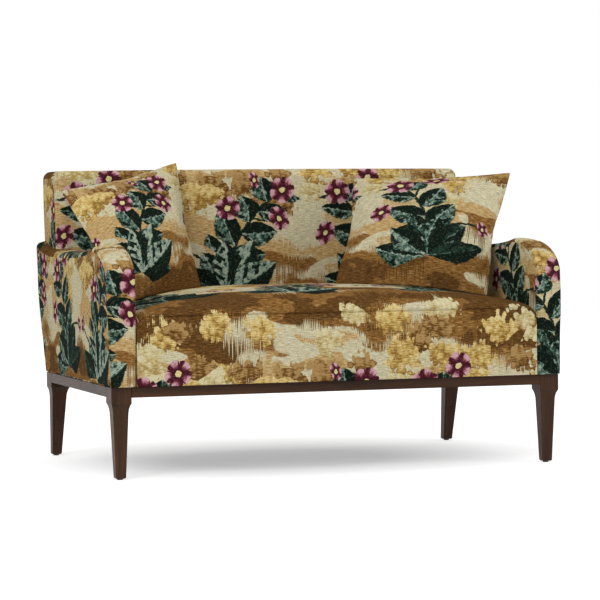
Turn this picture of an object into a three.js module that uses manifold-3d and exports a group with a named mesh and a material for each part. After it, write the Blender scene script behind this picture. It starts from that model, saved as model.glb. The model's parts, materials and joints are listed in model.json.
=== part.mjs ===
// High back settee: a two-seat settee with rolled arms on a stained wood base with four tapered legs.
// Millimetres. X runs to the right, Y to the rear and Z up. The floor is at zero, the plan is centred.

import * as THREE from 'three';
import { mergeVertices } from 'three/addons/utils/BufferGeometryUtils.js';
import Module from 'manifold-3d';

const wasm = await Module();
wasm.setup();

// Overall size of the upholstered body, and the gaps that pieces keep to each other
const overallWidth = 1336;
const overallDepth = 954;
const overallHeight = 857;
const fitGap = 0.3;
const cutOverrun = 20;
const fabricThickness = 1.6;

// Base frame and legs
const baseSideSetback = 10;
const baseHeight = 254;
const baseFrontSetback = 12;
const baseRearSetback = 112;
const baseRailHeight = 28;
const baseRailThickness = 30;
const legBlockWidth = 57;
const legBlockDepth = 65;
const legBlockHeight = 44;
const legShoulderDrop = 34;
const legNeckWidth = 43;
const legFootWidth = 29;
const legEdgeChamfer = 1.6;
const rearLegRake = 44;
const footChamfer = 2.5;
const glideDiameter = 17;
const glideThickness = 3.5;
const glideRimBevel = 1.2;
const cornerBlockReach = 72;
const cornerBlockThickness = 14;
const cornerBlockHeight = 24;

// Arms: a flat slab whose outline rolls forward in a rounded nose, dips, and rises to the back
const armThickness = 80;
const armHeight = 645;
const armNoseDepth = 203;
const armNoseHeight = 110;
const armDipHeight = 605;
const armDipY = 95;
const armRearHeight = 652;
const armEdgeRadius = 12;
const armRearRadius = 26;
const armDipRun = 110;
const armCrestRun = 215;
const armCrestEase = 26;
const armBoardThickness = 32;
const armPadThickness = 22;
const armWindowWidth = 108;
const armWindowHeight = 110;
const armWindowPitch = 190;
const armWindowBottom = 330;
const armWindowCorner = 27;
const armWindowCentreY = -85;

// Back: a boxy slab, its front almost upright and its rear raked up to the arms
const backSideInset = 34;
const backFrontFootY = 272;
const backFrontHeadY = 284;
const backRearFootY = 377;
const backRakeEndHeight = 772;
const backRakePower = 1.35;
const backEdgeRadius = 22;
const backTopRadius = 25;
const backFoamThickness = 50;
const backRearPadThickness = 10;
const backTopPadThickness = 12;
const backPostThickness = 25;
const backTopRailHeight = 24;
const backLowerRailHeight = 70;
const backLowerRailThickness = 25;
const backLowerRailBottom = 420;
const webCount = 5;
const webWidth = 60;
const webThickness = 2;
const outsideBackSeamInset = 28;
const outsideBackLayer = 2.8;

// Seat: a tight crowned seat with a seamed front border
const seatSeamHeight = 445;
const seatCornerDrop = 34;
const seatCornerRadius = 38;
const seatRollDepth = 90;
const seatPeakHeight = 515;
const seatEndFall = 56;
const seatEndFallPower = 3.15;
const seatRollShare = 0.72;
const seatPeakY = -50;
const seatRailHeight = 130;
const seatRailThickness = 25;
const seatBearerHeight = 84;
const borderPadThickness = 12;
const springCount = 6;
const springWireDiameter = 3.8;
const springWaveHalfWidth = 24;
const springWaves = 11;
const springRise = 9;
const springSpacing = 176;
const springRailLanding = 16;
const springPadThickness = 5;
const liningThickness = 1;
const liningSetback = 6;

// Scatter cushions: knife-edge squares, given by the places of their corners when they lean in the settee
const cushionFullness = 60;
const cushionEdgeDraw = 0.085;
const cushionSections = 12;
const cushionWall = 2;
const cushionHem = 14;
const insertEase = 1;
const cushionZipLength = 260;
const cushionZipGap = 1.6;
const cushionZipDepth = 60;
const leftCushionCorners = {
  topLeft: [-664, 52, 798],
  topRight: [-268, 272, 875],
  bottomLeft: [-574, -196, 463],
  bottomRight: [-272, 2, 503],
};
const rightCushionCorners = {
  topLeft: [290, 260, 829],
  topRight: [666, -68, 837],
  bottomLeft: [117, -68, 512],
  bottomRight: [516, -276, 474],
};

// Places that follow from the sizes above
const frontY = -overallDepth / 2;
const rearY = overallDepth / 2;
const baseFrontY = frontY + baseFrontSetback;
const baseRearY = rearY - baseRearSetback;
const liningBottom = baseHeight + fitGap;
const bodyBottom = liningBottom + liningThickness + fitGap;
const formBottom = bodyBottom - 2 * cutOverrun;
const armOuterX = overallWidth / 2;
const baseHalfWidth = armOuterX - baseSideSetback;
const armInnerX = armOuterX - armThickness;
const armMidX = armOuterX - armThickness / 2;
const armHumpY = frontY + armNoseDepth;
const backHalfWidth = armOuterX - backSideInset;
const seatHalfWidth = armInnerX - fitGap;
const seatRailTop = bodyBottom + seatRailHeight;
const seatFrameHalfWidth = seatHalfWidth - fabricThickness - fitGap;
const seatFrameFrontY = frontY + fabricThickness + borderPadThickness + 2 * fitGap;
const seatFrameRearY = backFrontFootY - fabricThickness - 2 * fitGap;
const springBedHeight = seatRailTop + fitGap + springWireDiameter / 2;
const springTop = springBedHeight + springRise + springWireDiameter / 2;
const springPadBottom = springTop + fitGap;
const seatFoamBottom = springPadBottom + springPadThickness + fitGap;

// Finishes
const walnut = { color: '#4a3429', roughness: 0.45, metalness: 0 };
const tapestry = { color: '#b08d5a', roughness: 0.9, metalness: 0 };
const darkPlastic = { color: '#1b1a19', roughness: 0.5, metalness: 0 };
const beech = { color: '#c9a777', roughness: 0.7, metalness: 0 };
const foam = { color: '#e9dfc4', roughness: 1, metalness: 0 };
const felt = { color: '#8d8a84', roughness: 1, metalness: 0 };
const springSteel = { color: '#5b5e63', roughness: 0.35, metalness: 1 };
const webbing = { color: '#3a3a3c', roughness: 0.85, metalness: 0 };
const lining = { color: '#222224', roughness: 0.95, metalness: 0 };

const settee = new THREE.Group();

function place(name, geometry, finish) {
  const mesh = new THREE.Mesh(geometry, new THREE.MeshStandardMaterial(finish));
  mesh.name = name;
  settee.add(mesh);
  return mesh;
}

// Joins and cuts
function toSolid(geometry) {
  const bare = geometry.clone();
  bare.deleteAttribute('normal');
  bare.deleteAttribute('uv');
  const merged = mergeVertices(bare);
  return new wasm.Manifold(new wasm.Mesh({
    numProp: 3,
    vertProperties: new Float32Array(merged.attributes.position.array),
    triVerts: new Uint32Array(merged.index.array),
  }));
}

function toGeometry(solid) {
  const mesh = solid.getMesh();
  const geometry = new THREE.BufferGeometry();
  geometry.setAttribute('position', new THREE.BufferAttribute(new Float32Array(mesh.vertProperties), 3));
  geometry.setIndex(new THREE.BufferAttribute(new Uint32Array(mesh.triVerts), 1));
  geometry.computeVertexNormals();
  return geometry;
}

// A box between two corners
function boxBetween(low, high) {
  const size = high.map((value, axis) => value - low[axis]);
  const box = new THREE.BoxGeometry(...size);
  box.translate(...low.map((value, axis) => value + size[axis] / 2));
  return box;
}

// A closed skin through rings of points, each ring with the same number of points
function loft(rings) {
  const count = rings[0].length;
  const index = [];
  for (let ring = 0; ring + 1 < rings.length; ring += 1) {
    for (let point = 0; point < count; point += 1) {
      const a = ring * count + point;
      const b = ring * count + (point + 1) % count;
      index.push(a, b, b + count, a, b + count, a + count);
    }
  }
  const last = (rings.length - 1) * count;
  for (let point = 1; point + 1 < count; point += 1) {
    index.push(0, point + 1, point, last, last + point, last + point + 1);
  }
  const geometry = new THREE.BufferGeometry();
  geometry.setAttribute('position', new THREE.Float32BufferAttribute(rings.flat(2), 3));
  geometry.setIndex(index);
  geometry.computeVertexNormals();
  return geometry;
}

// Outlines in the Y-Z plane run anticlockwise as seen from the right. Where a bend is tighter than the inset,
// the points that would run backwards are left out
function offsetOutline(points, inset) {
  const last = points.length - 1;
  const moved = points.map((point, index) => {
    const before = points.at(index - 1);
    const after = points[index < last ? index + 1 : 0];
    const into = new THREE.Vector2(before.y - point.y, point.x - before.x).normalize();
    const outOf = new THREE.Vector2(point.y - after.y, after.x - point.x).normalize();
    const mitre = into.clone().add(outOf);
    return point.clone().addScaledVector(mitre, inset / (1 + into.dot(outOf)));
  });
  return moved.filter((point, index) => {
    const run = points[index].clone().sub(points.at(index - 1));
    return point.clone().sub(moved.at(index - 1)).dot(run) > 0;
  });
}

// Turns a solid drawn as (Y, Z, X) so that its outline stands in the Y-Z plane
function standOutline(geometry) {
  const turn = new THREE.Matrix4().makeBasis(
    new THREE.Vector3(0, 1, 0),
    new THREE.Vector3(0, 0, 1),
    new THREE.Vector3(1, 0, 0),
  );
  return geometry.applyMatrix4(turn);
}

function extrudeAlongX(outline, fromX, toX) {
  const slab = new THREE.ExtrudeGeometry(new THREE.Shape(outline), { depth: toX - fromX, bevelEnabled: false });
  slab.translate(0, 0, fromX);
  return standOutline(slab);
}

// A slab along X with rounded edges, every face moved in by the inset
function roundedSlab(outline, fromX, toX, edgeRadius, inset) {
  const radius = Math.max(edgeRadius - inset, fabricThickness);
  const shape = new THREE.Shape(offsetOutline(outline, inset + radius));
  const slab = new THREE.ExtrudeGeometry(shape, {
    depth: toX - fromX - 2 * (inset + radius),
    bevelEnabled: true,
    bevelThickness: radius,
    bevelSize: radius,
    bevelSegments: 3,
  });
  slab.translate(0, 0, fromX + inset + radius);
  return standOutline(slab);
}

function backFrontY(height) {
  return THREE.MathUtils.mapLinear(height, baseHeight, overallHeight, backFrontFootY, backFrontHeadY);
}

function backRearY(height) {
  const rise = Math.min((height - baseHeight) / (backRakeEndHeight - baseHeight), 1);
  return rearY - (rearY - backRearFootY) * Math.pow(1 - rise, backRakePower);
}

// Points up the raked rear, from low to high
function rearCurve(top, steps) {
  return Array.from({ length: steps + 1 }, (_, step) => {
    const height = THREE.MathUtils.lerp(formBottom, top, step / steps);
    return new THREE.Vector2(backRearY(height), height);
  });
}

// Joins curves into one outline and drops the points that two curves share
function joinCurves(...curves) {
  const points = curves.flat();
  return points.filter((point, index) => index === 0 || point.distanceTo(points[index - 1]) > fitGap);
}

function roundedCorner(centreY, centreZ, radius, fromAngle, toAngle) {
  return new THREE.EllipseCurve(centreY, centreZ, radius, radius, fromAngle, toAngle).getPoints(4);
}

function armOutline() {
  const rearTopZ = armRearHeight - armRearRadius;
  const rearTopY = backRearY(rearTopZ) - armRearRadius;
  const dip = new THREE.CubicBezierCurve(
    new THREE.Vector2(rearTopY, armRearHeight),
    new THREE.Vector2(rearTopY - armDipRun, armRearHeight - armEdgeRadius),
    new THREE.Vector2(armDipY + armDipRun, armDipHeight),
    new THREE.Vector2(armDipY, armDipHeight),
  );
  const crest = new THREE.CubicBezierCurve(
    new THREE.Vector2(armDipY, armDipHeight),
    new THREE.Vector2(armDipY - armCrestRun, armDipHeight),
    new THREE.Vector2(armHumpY + armCrestEase, armHeight),
    new THREE.Vector2(armHumpY, armHeight),
  );
  const nose = new THREE.EllipseCurve(armHumpY, armHeight - armNoseHeight, armNoseDepth, armNoseHeight,
    Math.PI / 2, Math.PI);
  return joinCurves(
    rearCurve(rearTopZ, 8),
    roundedCorner(rearTopY, rearTopZ, armRearRadius, 0, Math.PI / 2),
    dip.getPoints(7),
    crest.getPoints(7),
    nose.getPoints(9),
    [new THREE.Vector2(frontY, formBottom)],
  );
}

function backOutline() {
  const topZ = overallHeight - backTopRadius;
  return joinCurves(
    rearCurve(topZ, 10),
    roundedCorner(backRearY(topZ) - backTopRadius, topZ, backTopRadius, 0, Math.PI / 2),
    roundedCorner(backFrontHeadY + backTopRadius, topZ, backTopRadius, Math.PI / 2, Math.PI),
    [new THREE.Vector2(backFrontY(formBottom), formBottom)],
  );
}

// Cuts a form off level at a height
function cutBelow(form, height) {
  const reach = overallWidth + cutOverrun;
  return form.subtract(toSolid(boxBetween([-reach, -reach, -reach], [reach, reach, height])));
}

// One arm, its faces moved in by the inset; side is 1 on the right and -1 on the left
function armSlab(side, inset) {
  const fromX = side > 0 ? armInnerX : -armOuterX;
  return toSolid(roundedSlab(armOutline(), fromX, fromX + armThickness, armEdgeRadius, inset));
}

function armForm(side, inset) {
  return cutBelow(armSlab(side, inset), bodyBottom);
}

// The back slab, stopped short of both arms
function backSlab(inset) {
  const slab = toSolid(roundedSlab(backOutline(), -backHalfWidth, backHalfWidth, backEdgeRadius, inset));
  const clearance = -(inset + fitGap);
  return slab.subtract(armSlab(1, clearance)).subtract(armSlab(-1, clearance));
}

function backForm(inset) {
  return cutBelow(backSlab(inset), bodyBottom);
}

// Height of the seat's front seam at a distance from the middle: it turns down at both ends
function seatSeamAt(x) {
  const past = Math.max(Math.abs(x) - (seatHalfWidth - seatCornerRadius), 0) / seatCornerRadius;
  return seatSeamHeight - seatCornerDrop * (1 - Math.sqrt(Math.max(1 - past * past, 0)));
}

function seatPeakAt(x) {
  return seatPeakHeight - seatEndFall * Math.pow(Math.abs(x) / seatHalfWidth, seatEndFallPower);
}

// One fore-and-aft section of the seat, from the bottom of the front border over the crown to the rear
function seatSection(x, realX, inset, bottom) {
  const seam = seatSeamAt(x);
  const rise = seatPeakAt(x) - seam;
  const rearAt = (height) => backFrontY(height) - fitGap - inset;
  const borderY = frontY + inset;
  const points = [[borderY, bottom], [borderY, seam - inset]];
  const rollSteps = 4;
  for (let step = 1; step <= rollSteps; step += 1) {
    const angle = (step / rollSteps) * Math.PI / 2;
    points.push([borderY + seatRollDepth * (1 - Math.cos(angle)), Math.sin(angle)]);
  }
  const crownSteps = 6;
  for (let step = 1; step <= crownSteps; step += 1) {
    points.push([THREE.MathUtils.lerp(borderY + seatRollDepth, rearAt(seam), step / crownSteps), 1]);
  }
  const crownSpan = seatPeakY - frontY;
  const section = points.map(([y, rolled], index) => {
    if (index < 2) return [realX, y, rolled];
    const crown = 1 - Math.pow((y - seatPeakY) / crownSpan, 2);
    return [realX, y, seam + rise * (seatRollShare * rolled + (1 - seatRollShare) * crown) - inset];
  });
  const crownRear = section[section.length - 1];
  crownRear[1] = rearAt(crownRear[2]);
  section.push([realX, rearAt(bottom), bottom]);
  return section.reverse();
}

function seatForm(inset, bottom = bodyBottom) {
  const halfStations = [0, 0.25, 0.5, 0.7, 0.85, 0.94, 0.98, 1];
  const stationShares = [...halfStations.slice(1).reverse().map((share) => -share), ...halfStations];
  return toSolid(loft(stationShares.map((share) => (
    seatSection(share * seatHalfWidth, share * (seatHalfWidth - inset), inset, bottom)
  ))));
}

// Base: four rails butted between the top blocks of four legs
// One section of a leg: a rectangle with eased corners
function ringAt(centreX, centreY, width, depth, height) {
  const halfX = width / 2;
  const halfY = depth / 2;
  const ease = Math.min(legEdgeChamfer, halfX / 2, halfY / 2);
  return [[halfX, ease - halfY], [halfX, halfY - ease], [halfX - ease, halfY], [ease - halfX, halfY],
    [-halfX, halfY - ease], [-halfX, ease - halfY], [ease - halfX, -halfY], [halfX - ease, -halfY]]
    .map(([x, y]) => [centreX + x, centreY + y, height]);
}

// The top block stands upright in the base, and the taper below it leans to the rear by the rake
function legGeometry(centreX, centreY, rake) {
  const bottom = glideThickness + fitGap;
  const blockBottom = baseHeight - legBlockHeight;
  const neckHeight = blockBottom - legShoulderDrop;
  const ring = (width, depth, height) => {
    const lean = rake * Math.max(blockBottom - height, 0) / (blockBottom - bottom);
    return ringAt(centreX, centreY + lean, width, depth, height);
  };
  const toe = legFootWidth - 2 * footChamfer;
  const rings = [
    ring(toe, toe, bottom),
    ring(legFootWidth, legFootWidth, bottom + footChamfer),
    ring(legNeckWidth, legNeckWidth, neckHeight),
  ];
  const coveSteps = 5;
  const coveAngle = Math.PI / 3;
  for (let step = 1; step <= coveSteps; step += 1) {
    const angle = (step / coveSteps) * coveAngle;
    const flare = (1 - Math.cos(angle)) / (1 - Math.cos(coveAngle));
    const rise = Math.sin(angle) / Math.sin(coveAngle);
    rings.push(ring(
      THREE.MathUtils.lerp(legNeckWidth, legBlockWidth, flare),
      THREE.MathUtils.lerp(legNeckWidth, legBlockDepth, flare),
      neckHeight + legShoulderDrop * rise,
    ));
  }
  rings.push(ring(legBlockWidth, legBlockDepth, baseHeight));
  return loft(rings);
}

function glideGeometry(centreX, centreY) {
  const radius = glideDiameter / 2;
  const profile = [
    new THREE.Vector2(0, 0),
    new THREE.Vector2(radius - glideRimBevel, 0),
    new THREE.Vector2(radius, glideRimBevel),
    new THREE.Vector2(radius, glideThickness),
    new THREE.Vector2(0, glideThickness),
  ];
  const glide = new THREE.LatheGeometry(profile, 14);
  glide.rotateX(Math.PI / 2);
  return glide.translate(centreX, centreY, 0);
}

// A block that fits round the inner corner of a leg and against both rails
function cornerBlockGeometry(sideX, sideY) {
  const legEdgeX = legBlockWidth + fitGap;
  const legEdgeY = legBlockDepth + fitGap;
  const railEdge = baseRailThickness + fitGap;
  const outerX = legEdgeX + cornerBlockReach;
  const outerY = legEdgeY + cornerBlockReach;
  const inner = railEdge + cornerBlockThickness;
  const corners = [[legEdgeX, railEdge], [outerX, railEdge], [outerX, inner], [inner, outerY],
    [railEdge, outerY], [railEdge, legEdgeY], [legEdgeX, legEdgeY]];
  const cornerX = sideX * baseHalfWidth;
  const cornerY = sideY < 0 ? baseFrontY : baseRearY;
  const shape = new THREE.Shape(corners.map(([x, y]) => (
    new THREE.Vector2(cornerX - sideX * x, cornerY - sideY * y)
  )));
  const block = new THREE.ExtrudeGeometry(shape, { depth: cornerBlockHeight, bevelEnabled: false });
  return block.translate(0, 0, baseHeight - cornerBlockHeight);
}

function buildBase() {
  const railBottom = baseHeight - baseRailHeight;
  const railEndX = baseHalfWidth - legBlockWidth - fitGap;
  const railEndInset = legBlockDepth + fitGap;
  place('front_base_rail', boxBetween([-railEndX, baseFrontY, railBottom],
    [railEndX, baseFrontY + baseRailThickness, baseHeight]), walnut);
  place('rear_base_rail', boxBetween([-railEndX, baseRearY - baseRailThickness, railBottom],
    [railEndX, baseRearY, baseHeight]), walnut);
  for (const [sideName, side] of [['left', -1], ['right', 1]]) {
    const xs = [side * baseHalfWidth, side * (baseHalfWidth - baseRailThickness)].sort((a, b) => a - b);
    place(`${sideName}_base_rail`, boxBetween([xs[0], baseFrontY + railEndInset, railBottom],
      [xs[1], baseRearY - railEndInset, baseHeight]), walnut);
    for (const [endName, end] of [['front', -1], ['rear', 1]]) {
      const centreX = side * (baseHalfWidth - legBlockWidth / 2);
      const centreY = end < 0 ? baseFrontY + legBlockDepth / 2 : baseRearY - legBlockDepth / 2;
      const rake = end < 0 ? 0 : rearLegRake;
      place(`${endName}_${sideName}_leg`, legGeometry(centreX, centreY, rake), walnut);
      place(`${endName}_${sideName}_glide`, glideGeometry(centreX, centreY + rake), darkPlastic);
      place(`${endName}_${sideName}_corner_block`, cornerBlockGeometry(side, end), beech);
    }
  }
  place('lining_cloth', boxBetween(
    [-baseHalfWidth + liningSetback, baseFrontY + liningSetback, liningBottom],
    [baseHalfWidth - liningSetback, baseRearY - liningSetback, liningBottom + liningThickness],
  ), lining);
}

// Seat frame, zigzag springs, pad, foam and cover
function springGeometry(centreX) {
  const startY = seatFrameFrontY + springRailLanding;
  const endY = seatFrameRearY - springRailLanding;
  class ZigzagCurve extends THREE.Curve {
    getPoint(t, target = new THREE.Vector3()) {
      const side = Math.sin(t * springWaves * 2 * Math.PI);
      const lift = Math.sin(t * Math.PI);
      return target.set(
        centreX + springWaveHalfWidth * side,
        THREE.MathUtils.lerp(startY, endY, t),
        springBedHeight + springRise * lift,
      );
    }
  }
  const radius = springWireDiameter / 2;
  const wire = new THREE.Shape([0, 1, 2, 3].map((corner) => (
    new THREE.Vector2(radius * Math.cos(corner * Math.PI / 2), radius * Math.sin(corner * Math.PI / 2))
  )));
  return new THREE.ExtrudeGeometry(wire, { steps: springWaves * 6, extrudePath: new ZigzagCurve() });
}

function buildSeat() {
  const innerX = seatFrameHalfWidth - seatRailThickness - fitGap;
  const frontInnerY = seatFrameFrontY + seatRailThickness;
  const rearInnerY = seatFrameRearY - seatRailThickness;
  place('seat_front_rail', boxBetween([-seatFrameHalfWidth, seatFrameFrontY, bodyBottom],
    [seatFrameHalfWidth, frontInnerY, seatRailTop]), beech);
  place('seat_back_rail', boxBetween([-seatFrameHalfWidth, rearInnerY, bodyBottom],
    [seatFrameHalfWidth, seatFrameRearY, seatRailTop]), beech);
  for (const [sideName, side] of [['left', -1], ['right', 1]]) {
    const xs = [side * seatFrameHalfWidth, side * (innerX + fitGap)].sort((a, b) => a - b);
    place(`seat_${sideName}_rail`, boxBetween([xs[0], frontInnerY + fitGap, bodyBottom],
      [xs[1], rearInnerY - fitGap, seatRailTop]), beech);
  }
  place('seat_centre_bearer', boxBetween([-seatRailThickness / 2, frontInnerY + fitGap, bodyBottom],
    [seatRailThickness / 2, rearInnerY - fitGap, bodyBottom + seatBearerHeight]), beech);
  for (let number = 0; number < springCount; number += 1) {
    const centreX = (number - (springCount - 1) / 2) * springSpacing;
    place(`zigzag_spring_${number + 1}`, springGeometry(centreX), springSteel);
  }
  place('spring_pad', boxBetween([-seatFrameHalfWidth, seatFrameFrontY, springPadBottom],
    [seatFrameHalfWidth, seatFrameRearY, springPadBottom + springPadThickness]), felt);
  const padded = fabricThickness + fitGap;
  place('seat_foam', toGeometry(seatForm(padded, seatFoamBottom)), foam);
  place('front_border_pad', boxBetween(
    [-seatFrameHalfWidth, frontY + padded, bodyBottom],
    [seatFrameHalfWidth, seatFrameFrontY - fitGap, springPadBottom + springPadThickness],
  ), foam);
  const hollow = seatForm(fabricThickness, bodyBottom - cutOverrun);
  place('seat_cover', toGeometry(seatForm(0).subtract(hollow)), tapestry);
}

// Arms: a laminated board with lightening windows, foam wrapped over it, and the cover
function armWindows() {
  const reachY = armWindowWidth / 2 - armWindowCorner;
  const lowZ = armWindowBottom + armWindowCorner;
  const highZ = armWindowBottom + armWindowHeight - armWindowCorner;
  const quarter = Math.PI / 2;
  return [-1, 0, 1].map((number) => {
    const centreY = armWindowCentreY + number * armWindowPitch;
    return joinCurves(
      roundedCorner(centreY - reachY, lowZ, armWindowCorner, 2 * quarter, 3 * quarter),
      roundedCorner(centreY + reachY, lowZ, armWindowCorner, 3 * quarter, 4 * quarter),
      roundedCorner(centreY + reachY, highZ, armWindowCorner, 0, quarter),
      roundedCorner(centreY - reachY, highZ, armWindowCorner, quarter, 2 * quarter),
    );
  });
}

function buildArms() {
  const padded = fabricThickness + fitGap;
  for (const [sideName, side] of [['left', -1], ['right', 1]]) {
    const boardX = side * armMidX - armBoardThickness / 2;
    const boardOutline = offsetOutline(armOutline(), armPadThickness);
    const windows = armWindows().map((outline) => (
      toSolid(extrudeAlongX(outline, boardX - fitGap, boardX + armBoardThickness + fitGap))
    ));
    const board = toSolid(extrudeAlongX(boardOutline, boardX, boardX + armBoardThickness));
    const openBoard = windows.reduce((rest, window) => rest.subtract(window), cutBelow(board, bodyBottom));
    place(`${sideName}_arm_board`, toGeometry(openBoard), beech);
    const slotOutline = offsetOutline(armOutline(), armPadThickness - fitGap);
    const slot = extrudeAlongX(slotOutline, boardX - fitGap, boardX + armBoardThickness + fitGap);
    place(`${sideName}_arm_foam`, toGeometry(armForm(side, padded).subtract(toSolid(slot))), foam);
    const hollow = armSlab(side, fabricThickness);
    place(`${sideName}_arm_cover`, toGeometry(armForm(side, 0).subtract(hollow)), tapestry);
  }
}

// Back: a raked timber frame, elastic webs, foam, pads and covers
function frameFrontY(height) {
  return backFrontY(height) + fabricThickness + backFoamThickness + webThickness + 3 * fitGap;
}

function frameRearY(height) {
  return backRearY(height) - fabricThickness - backRearPadThickness - 2 * fitGap;
}

function frameBand(bottom, top) {
  const steps = 6;
  const rear = Array.from({ length: steps + 1 }, (_, step) => {
    const height = THREE.MathUtils.lerp(bottom, top, step / steps);
    return new THREE.Vector2(frameRearY(height), height);
  });
  return [...rear, new THREE.Vector2(frameFrontY(top), top), new THREE.Vector2(frameFrontY(bottom), bottom)];
}

// Outline of everything behind the raked rear, taken a little forward of it
function behindRear(forward, top) {
  return [
    new THREE.Vector2(rearY + cutOverrun, formBottom),
    new THREE.Vector2(rearY + cutOverrun, top),
    ...rearCurve(top, 10).map((point) => new THREE.Vector2(point.x - forward, point.y)).reverse(),
  ];
}

function buildBack() {
  const padded = fabricThickness + fitGap;
  const frameTop = overallHeight - padded - backTopPadThickness - fitGap;
  const topRailBottom = frameTop - backTopRailHeight;
  const lowerRailTop = backLowerRailBottom + backLowerRailHeight;
  const postOuterX = seatFrameHalfWidth;
  const postInnerX = postOuterX - backPostThickness;
  const postOutline = frameBand(bodyBottom, topRailBottom - fitGap);
  place('back_left_post', extrudeAlongX(postOutline, -postOuterX, -postInnerX), beech);
  place('back_right_post', extrudeAlongX(postOutline, postInnerX, postOuterX), beech);
  place('back_centre_post', extrudeAlongX(postOutline, -backPostThickness / 2, backPostThickness / 2), beech);
  place('back_top_rail', extrudeAlongX(frameBand(topRailBottom, frameTop), -postOuterX, postOuterX), beech);
  const railFrontY = frameFrontY(lowerRailTop);
  for (const [sideName, side] of [['left', -1], ['right', 1]]) {
    const ends = [side * (backPostThickness / 2 + fitGap), side * (postInnerX - fitGap)].sort((a, b) => a - b);
    place(`back_${sideName}_lower_rail`, boxBetween([ends[0], railFrontY, backLowerRailBottom],
      [ends[1], railFrontY + backLowerRailThickness, lowerRailTop]), beech);
  }
  const webRearY = frameFrontY(backLowerRailBottom) - fitGap;
  const webPitch = 2 * postInnerX / (webCount + 1);
  for (let number = 1; number <= webCount; number += 1) {
    const centreX = -postInnerX + number * webPitch;
    place(`back_web_${number}`, extrudeAlongX([
      new THREE.Vector2(webRearY, backLowerRailBottom),
      new THREE.Vector2(frameFrontY(frameTop) - fitGap, frameTop),
      new THREE.Vector2(frameFrontY(frameTop) - fitGap - webThickness, frameTop),
      new THREE.Vector2(webRearY - webThickness, backLowerRailBottom),
    ], centreX - webWidth / 2, centreX + webWidth / 2), webbing);
  }

  const body = backForm(padded);
  const foamRear = (height) => frameFrontY(height) - webThickness - 2 * fitGap;
  const wide = backHalfWidth + cutOverrun;
  const low = bodyBottom - cutOverrun;
  const high = overallHeight + cutOverrun;
  const shelf = frameTop + fitGap;
  const behindFoam = toSolid(extrudeAlongX([
    new THREE.Vector2(foamRear(low), low),
    new THREE.Vector2(rearY + cutOverrun, low),
    new THREE.Vector2(rearY + cutOverrun, shelf),
    new THREE.Vector2(foamRear(shelf), shelf),
  ], -wide, wide));
  place('back_foam', toGeometry(body.subtract(behindFoam)), foam);
  const padLayer = fabricThickness + backRearPadThickness + fitGap;
  const behindFrame = toSolid(extrudeAlongX(behindRear(padLayer, shelf - fitGap), -postOuterX, postOuterX));
  place('back_rear_pad', toGeometry(body.intersect(behindFrame)), foam);
  for (const [sideName, side] of [['left', -1], ['right', 1]]) {
    const ends = [side * (postOuterX + fitGap), side * wide].sort((a, b) => a - b);
    const besideFrame = extrudeAlongX([
      new THREE.Vector2(foamRear(low) + fitGap, low),
      new THREE.Vector2(rearY + cutOverrun, low),
      new THREE.Vector2(rearY + cutOverrun, shelf - fitGap),
      new THREE.Vector2(foamRear(shelf) + fitGap, shelf - fitGap),
    ], ...ends);
    place(`back_${sideName}_side_pad`, toGeometry(body.intersect(toSolid(besideFrame))), foam);
  }

  const shell = backForm(0).subtract(backSlab(fabricThickness));
  const seamX = backHalfWidth - armThickness;
  const panelTop = overallHeight - outsideBackSeamInset;
  const panel = (grow) => toSolid(extrudeAlongX(
    behindRear(outsideBackLayer + grow, panelTop + grow),
    -seamX - grow,
    seamX + grow,
  ));
  place('inside_back_cover', toGeometry(shell.subtract(panel(fitGap))), tapestry);
  place('outside_back_cover', toGeometry(shell.intersect(panel(0))), tapestry);
}

// Scatter cushions: two skins that meet in a knife edge, drawn in between the corners
function cushionForm(corners, hem, wall) {
  const at = Object.fromEntries(Object.entries(corners).map(([name, xyz]) => [name, new THREE.Vector3(...xyz)]));
  const across = at.topRight.clone().sub(at.topLeft).add(at.bottomRight).sub(at.bottomLeft);
  const upward = at.topLeft.clone().sub(at.bottomLeft).add(at.topRight).sub(at.bottomRight);
  const outward = across.clone().cross(upward).normalize();
  const plan = 1 - 2 * hem / (across.length() / 2);
  const n = cushionSections;
  const vertices = [];
  const addPoint = (column, row, face) => {
    const u = (2 * column) / n - 1;
    const v = (2 * row) / n - 1;
    const drawnU = u * (1 - cushionEdgeDraw * (1 - v * v) * u * u) * plan;
    const drawnV = v * (1 - cushionEdgeDraw * (1 - u * u) * v * v) * plan;
    const bottom = at.bottomLeft.clone().lerp(at.bottomRight, (1 + drawnU) / 2);
    const top = at.topLeft.clone().lerp(at.topRight, (1 + drawnU) / 2);
    const swell = Math.pow((1 - u * u) * (1 - v * v), 0.45) * (cushionFullness - wall);
    vertices.push(...bottom.lerp(top, (1 + drawnV) / 2).addScaledVector(outward, face * swell).toArray());
    return vertices.length / 3 - 1;
  };
  const index = [];
  for (const face of [1, -1]) {
    const grid = [];
    for (let row = 0; row <= n; row += 1) {
      grid.push(Array.from({ length: n + 1 }, (_, column) => addPoint(column, row, face)));
    }
    for (let row = 0; row < n; row += 1) {
      for (let column = 0; column < n; column += 1) {
        const quad = [grid[row][column], grid[row][column + 1], grid[row + 1][column + 1], grid[row + 1][column]];
        if ((row < n / 2) !== (column < n / 2)) quad.push(quad.shift());
        const [a, b, c, d] = quad;
        index.push(...(face > 0 ? [a, b, c, a, c, d] : [a, c, b, a, d, c]));
      }
    }
  }
  const geometry = new THREE.BufferGeometry();
  geometry.setAttribute('position', new THREE.Float32BufferAttribute(vertices, 3));
  geometry.setIndex(index);
  return toSolid(geometry);
}

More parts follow.
